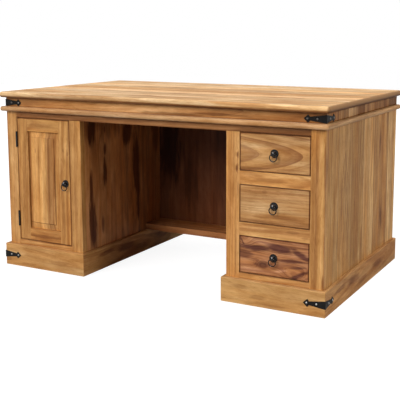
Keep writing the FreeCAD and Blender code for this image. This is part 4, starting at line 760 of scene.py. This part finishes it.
def wood_material(node):
    """The wood of one CAD node, from its entry in BOARDS."""
    board = {**PLAIN_BOARD, **BOARDS[node]}
    low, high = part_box(node)
    material, wires, shader, at = new_material("wood_" + node)
    at_board, middle = folded(wires, at, low, high, board["fold"])
    place = laid(wires, at_board, middle, board["lay"])
    x, y = wires.split(at)[:2]
    if board["fold"] == "drawer":
        back = wires.above(y, high.y - DRAWER_BACK_DEPTH)
        place = wires.blend(back, place, laid(wires, at, (low + high) / 2, "front_long"))
    along, across, through = wires.split(place)

    # Each plank or board of a node gets a number of its own, and dark grooves run between planks.
    number = 0.0
    if node not in WHOLE_BOARDS:
        number = wires.above(x, 0.0 if low.x < 0.0 < high.x else low.x - 1.0)
    if board["fold"] == "four":
        outer = wires.above(wires.absolute(x), PEDESTAL_MIDDLE)
        number = wires.times_plus(outer, 2.0, number)
    length_half, width_half = [sum(abs(part) * size / 2 for part, size in zip(row, high - low))
                               for row in LAYS[board["lay"]][:2]]
    edges = [-width_half, *board["seams"], width_half]
    plank_middles = [(first + second) / 2 for first, second in zip(edges, edges[1:])]
    plank_middle = plank_middles[0]
    groove = 0.0
    for seam, before, after in zip(board["seams"], plank_middles, plank_middles[1:]):
        past = wires.above(across, seam)
        number = wires.plus(number, past)
        plank_middle = wires.times_plus(past, after - before, plank_middle)
        off = wires.absolute(wires.minus(across, seam))
        groove = wires.larger(groove, wires.fall(off, SEAM_CORE, board["seam_width"]))

    push = 0.0
    core = 0.0
    for *entry, strength, dark in board["knots"]:
        knot = spot(wires, KNOT, place, entry, Strength=strength, Dark=dark)
        push = wires.plus(push, knot["Push"])
        core = wires.larger(core, knot["Core"])
    heart = 0.0
    sap = 0.0
    for patch_along, patch_across, length, width, strength, *slant in board["patches"]:
        entry = (patch_along, patch_across, length, width)
        mask = spot(wires, PATCH, place, entry, Slant=sum(slant))["Mask"]
        mask = wires.times(mask, abs(strength))
        if strength > 0.0:
            heart = wires.larger(heart, mask)
        else:
            sap = wires.larger(sap, mask)
    for *entry, strength in board["lenses"]:
        heart = wires.larger(heart, wires.times(spot(wires, LENS, place, entry)["Mask"], strength))

    if board["seams"]:
        place = wires.vector("SUBTRACT", place, wires.join(0.0, plank_middle, 0.0))
    pale, ring, heartwood = [tone + (1.0,) for tone in TONES[board["tone"]]]
    sawn = wires.group(SAWN_BOARD, {
        "Vector": place, "Push": push, "Board": number, "Pale": pale, "Ring": ring, "Heartwood": heartwood,
        **{label: board[entry] for label, entry in GRAIN_INPUTS.items()}})
    colour = sawn["Colour"]
    rough = sawn["Roughness"]
    height = sawn["Height"]
    for mask, tint in ((sap, SAP_TINT), (heart, board["heart_tint"]), (core, board["heart_tint"])):
        if mask != 0.0:
            colour = wires.tinted(mask, colour, tint)
    if board["seams"]:
        colour = wires.tinted(wires.times(groove, SEAM_DARKNESS), colour, GRIME_AND_SHADE_TINT)
        height = wires.times_plus(groove, -SEAM_DEPTH, height)
    # Darker along the edges of the box: old wax and dirt, and painted shade in the gaps round fronts and under
    # noses and mouldings.
    if board["grime"]:
        for other in board["grime_box"]:
            other_low, other_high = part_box(other)
            low = Vector(np.minimum(low, other_low))
            high = Vector(np.maximum(high, other_high))
        grime = wires.group(EDGE_GRIME_AND_SHADE, {"Vector": at, "Low": low, "High": high, "Width": GRIME_AND_SHADE_WIDTH})
        colour = wires.tinted(wires.times(grime["Mask"], board["grime"]), colour, GRIME_AND_SHADE_TINT)
        rough = wires.times_plus(grime["Mask"], GRIME_ROUGHNESS, rough)
    # Painted shade in the step round the panel's field, fading towards the top end.
    if board["rim"]:
        beside = wires.minus(across, width_half - board["rim"])
        beyond = wires.minus(wires.absolute(along), length_half - board["rim"])
        off = wires.absolute(wires.larger(beside, beyond))
        fading = wires.times_plus(wires.rise(along, 0.0, length_half), -RIM_SHADE_LOSS, RIM_SHADE_STRENGTH)
        colour = wires.tinted(wires.times(wires.fall(off, *RIM_SHADE_LINE), fading), colour, GRIME_AND_SHADE_TINT)
    if board["end_grain_and_nose_shade"]:
        start = length_half - END_GRAIN_DEPTH
        end = wires.rise(wires.absolute(along), start, start + END_GRAIN_SHARE * END_GRAIN_DEPTH)
        cut_pores = wires.times_plus(wires.noise(place, (60.0, 300.0, 300.0), 3.0), 0.5, 0.75)
        colour = wires.blend(end, colour, wires.scaled(END_GRAIN_TONE, cut_pores))
        height = wires.times(height, wires.minus(1.0, end))
        # Painted shade on the lower half of the nose.
        painted_nose_shade = wires.rise(wires.times(through, -1.0), *NOSE_SHADE_SPAN)
        colour = wires.tinted(painted_nose_shade, colour, NOSE_SHADE_TINT)
    wires.feed(shader["Base Color"], colour)
    wires.feed(shader["Roughness"], rough)
    shader["Specular IOR Level"].default_value = board["shine"]
    add_bump(wires, shader, height, *WOOD_BUMP)
    return material


def iron_material(name, black, bloom, polish, bump, metallic, shine):
    """Iron from one entry of IRONS."""
    material, wires, shader, at = new_material(name)
    iron = wires.group(FORGED_IRON, {"Vector": at, "Black": black + (1.0,), "Bloom": bloom + (1.0,),
                                     "Polish": polish})
    shader["Metallic"].default_value = metallic
    shader["Specular IOR Level"].default_value = shine
    wires.feed(shader["Base Color"], iron["Colour"])
    wires.feed(shader["Roughness"], iron["Roughness"])
    add_bump(wires, shader, iron["Height"], bump, IRON_BUMP_DEPTH)
    return material


def brushed_steel_material():
    """Plain steel with fine brush lines along Z."""
    material, wires, shader, at = new_material("brushed_steel")
    brush = wires.noise(at, (1800.0, 1800.0, 40.0), 3.0)
    shader["Metallic"].default_value = 1.0
    wires.feed(shader["Base Color"], wires.blend(brush, *STEEL_TONES))
    wires.feed(shader["Roughness"], wires.times_plus(brush, 0.2, 0.25))
    add_bump(wires, shader, brush, *STEEL_BUMP)
    return material


def moulded_plastic_material():
    """Brown plastic with a fine moulded grain and slight clouding."""
    material, wires, shader, at = new_material("moulded_plastic")
    grain = wires.noise(at, (1400.0, 1400.0, 1400.0))
    cloud = wires.noise(at, (45.0, 45.0, 45.0), 3.0)
    wires.feed(shader["Base Color"], wires.blend(cloud, *PLASTIC_TONES))
    wires.feed(shader["Roughness"], wires.times_plus(grain, 0.2, 0.45))
    add_bump(wires, shader, grain, *PLASTIC_BUMP)
    return material


def dress(node, material):
    """Puts one material on every slot of a CAD node."""
    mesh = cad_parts[node].data
    mesh.materials.clear()
    mesh.materials.append(material)


def grid_piece(name, points, material, body):
    """A closed piece from a grid of points: rows from pole to pole, columns round and joined at the seam."""
    rows, columns = points.shape[:2]
    row, column = np.meshgrid(np.arange(rows - 1), np.arange(columns), indexing="ij")
    after = (column + 1) % columns
    quads = np.stack([row * columns + column, row * columns + after, (row + 1) * columns + after,
                      (row + 1) * columns + column], axis=-1).reshape(-1, 4)
    mesh = bpy.data.meshes.new(name)
    mesh.from_pydata(points.reshape(-1, 3).tolist(), [], quads.tolist())
    mesh.materials.append(material)
    piece = bpy.data.objects.new(name, mesh)
    bpy.context.scene.collection.objects.link(piece)
    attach(piece, body)


def screw_head(centre, facing, slot_turn):
    """A flush slotted screw head, as a grid of rings round the X axis.

    The front is a shallow dome, less a straight slot; the rim drops to a flat back inside the leaf.
    Facing is +1 or -1, the way along X that the head looks; slot_turn turns the slot.
    """
    angle = np.linspace(0.0, 2.0 * math.pi, SCREW_SIDES, endpoint=False)
    radius, turn = np.meshgrid(np.array(SCREW_RINGS) * SCREW_RADIUS, angle, indexing="ij")
    across = radius * np.cos(turn)
    up = radius * np.sin(turn)
    off_slot = np.abs(across * math.sin(slot_turn) - up * math.cos(slot_turn))
    in_slot = (SLOT_HALF_WIDTH * SLOT_WALL_END - off_slot) / (SLOT_HALF_WIDTH * SLOT_WALL_SLOPE)
    height = SCREW_PROUD * (1.0 - SCREW_DOME * (radius / SCREW_RADIUS) ** 2)
    height -= SLOT_DEPTH * SCREW_PROUD * np.clip(in_slot, 0.0, 1.0)
    height[-2:] = -SCREW_SUNK
    return np.stack([centre[0] + facing * height, centre[1] + facing * across, centre[2] + up], axis=-1)


def add_sun(name, to_light, strength, spread, spread_light=True, mirrored=True):
    """A soft sun.

    One that isn't mirrored leaves no glare on polished wood, and one without spread light only glints.
    """
    lamp = bpy.data.lights.new(name, "SUN")
    lamp.energy = strength
    lamp.angle = math.radians(spread)
    sun = bpy.data.objects.new(name, lamp)
    sun.rotation_euler = Vector(to_light).to_track_quat("Z", "Y").to_euler()
    sun.visible_diffuse = spread_light
    sun.visible_glossy = mirrored
    bpy.context.scene.collection.objects.link(sun)


def add_sky():
    """An even white sky: weak as light, stronger in reflections, plain white where the camera sees it."""
    sky = bpy.data.worlds.new("studio_sky")
    sky.use_nodes = True
    sky.node_tree.nodes.clear()
    wires = Wiring(sky.node_tree)
    path = wires.node("ShaderNodeLightPath")
    back = wires.node("ShaderNodeBackground")
    back.inputs["Color"].default_value = (1.0, 1.0, 1.0, 1.0)
    strength = wires.times_plus(path.outputs["Is Camera Ray"], SKY_SEEN - SKY_STRENGTH, SKY_STRENGTH)
    strength = wires.times_plus(path.outputs["Is Glossy Ray"], SKY_REFLECTED - SKY_STRENGTH, strength)
    wires.feed(back.inputs["Strength"], strength)
    wires.feed(wires.node("ShaderNodeOutputWorld").inputs["Surface"], back.outputs[0])
    bpy.context.scene.world = sky


def add_floor():
    """A pale matt floor under the plinths, near white to the camera, with only a faint shadow."""
    corner = FLOOR_HALF * np.array([[-1, -1], [1, -1], [1, 1], [-1, 1]], float)
    points = np.column_stack([corner, np.full(4, -FLOOR_DROP)])
    mesh = bpy.data.meshes.new("floor")
    mesh.from_pydata(points.tolist(), [], [(0, 1, 2, 3)])
    material, wires, shader, at = new_material("pale_floor")
    seen = wires.node("ShaderNodeLightPath").outputs["Is Camera Ray"]
    cloud = wires.times_plus(wires.noise(at, (3.0, 3.0, 3.0)), *FLOOR_CLOUDS)
    tone = wires.times_plus(seen, FLOOR_SEEN_TONE - FLOOR_BOUNCE_TONE, FLOOR_BOUNCE_TONE)
    wires.feed(shader["Base Color"], wires.scaled((1.0, 1.0, 1.0), wires.times(tone, cloud)))
    shader["Roughness"].default_value = FLOOR_ROUGHNESS
    shader["Specular IOR Level"].default_value = 0.0
    shader["Emission Color"].default_value = (1.0, 1.0, 1.0, 1.0)
    wires.feed(shader["Emission Strength"], wires.times(seen, FLOOR_SEEN_GLOW))
    mesh.materials.append(material)
    floor = bpy.data.objects.new("floor", mesh)
    bpy.context.scene.collection.objects.link(floor)


def add_camera():
    """The camera that was fitted to the photograph."""
    lens = bpy.data.cameras.new("camera")
    lens.sensor_width = CAMERA_SENSOR
    lens.lens = CAMERA_LENS
    lens.shift_x, lens.shift_y = CAMERA_SHIFT
    camera = bpy.data.objects.new("camera", lens)
    camera.location = CAMERA_PLACE
    camera.rotation_euler = (math.radians(90.0 - CAMERA_PITCH), 0.0, math.radians(CAMERA_YAW))
    bpy.context.scene.collection.objects.link(camera)
    bpy.context.scene.camera = camera


KNOT = make_knot()
SAWN_BOARD = make_sawn_board()
LENS = make_lens()
PATCH = make_patch()
EDGE_GRIME_AND_SHADE = make_edge_grime()
FORGED_IRON = make_forged_iron()

for board_node in BOARDS:
    dress(board_node, wood_material(board_node))
irons = {name: iron_material(name, **finish) for name, finish in IRONS.items()}
for iron_node, finish in IRON_NODES.items():
    dress(iron_node, irons[finish])
dress("catch_plate", brushed_steel_material())
dress("door_catch", moulded_plastic_material())

for hinge, hinge_height in HINGE_HEIGHTS.items():
    for count, offset in enumerate(SCREW_OFFSETS):
        for leaf, leaf_body, way in (("frame", "carcass", 1.0), ("door", "door", -1.0)):
            seat = (HINGE_X - way * LEAF_GAP, LEAF_MIDDLE_Y, hinge_height + offset)
            head = screw_head(seat, way, SLOT_FIRST_TURN + SLOT_NEXT_TURN * count + hinge_height)
            screw = f"{hinge}_{leaf}_screw_{count + 1}"
            grid_piece(screw, head, irons["rubbed_iron"], leaf_body)

for sun_name, sun_values in SUNS.items():
    add_sun(sun_name, **sun_values)
add_sky()
add_floor()
add_camera()
bpy.context.scene.view_settings.view_transform = "Standard"
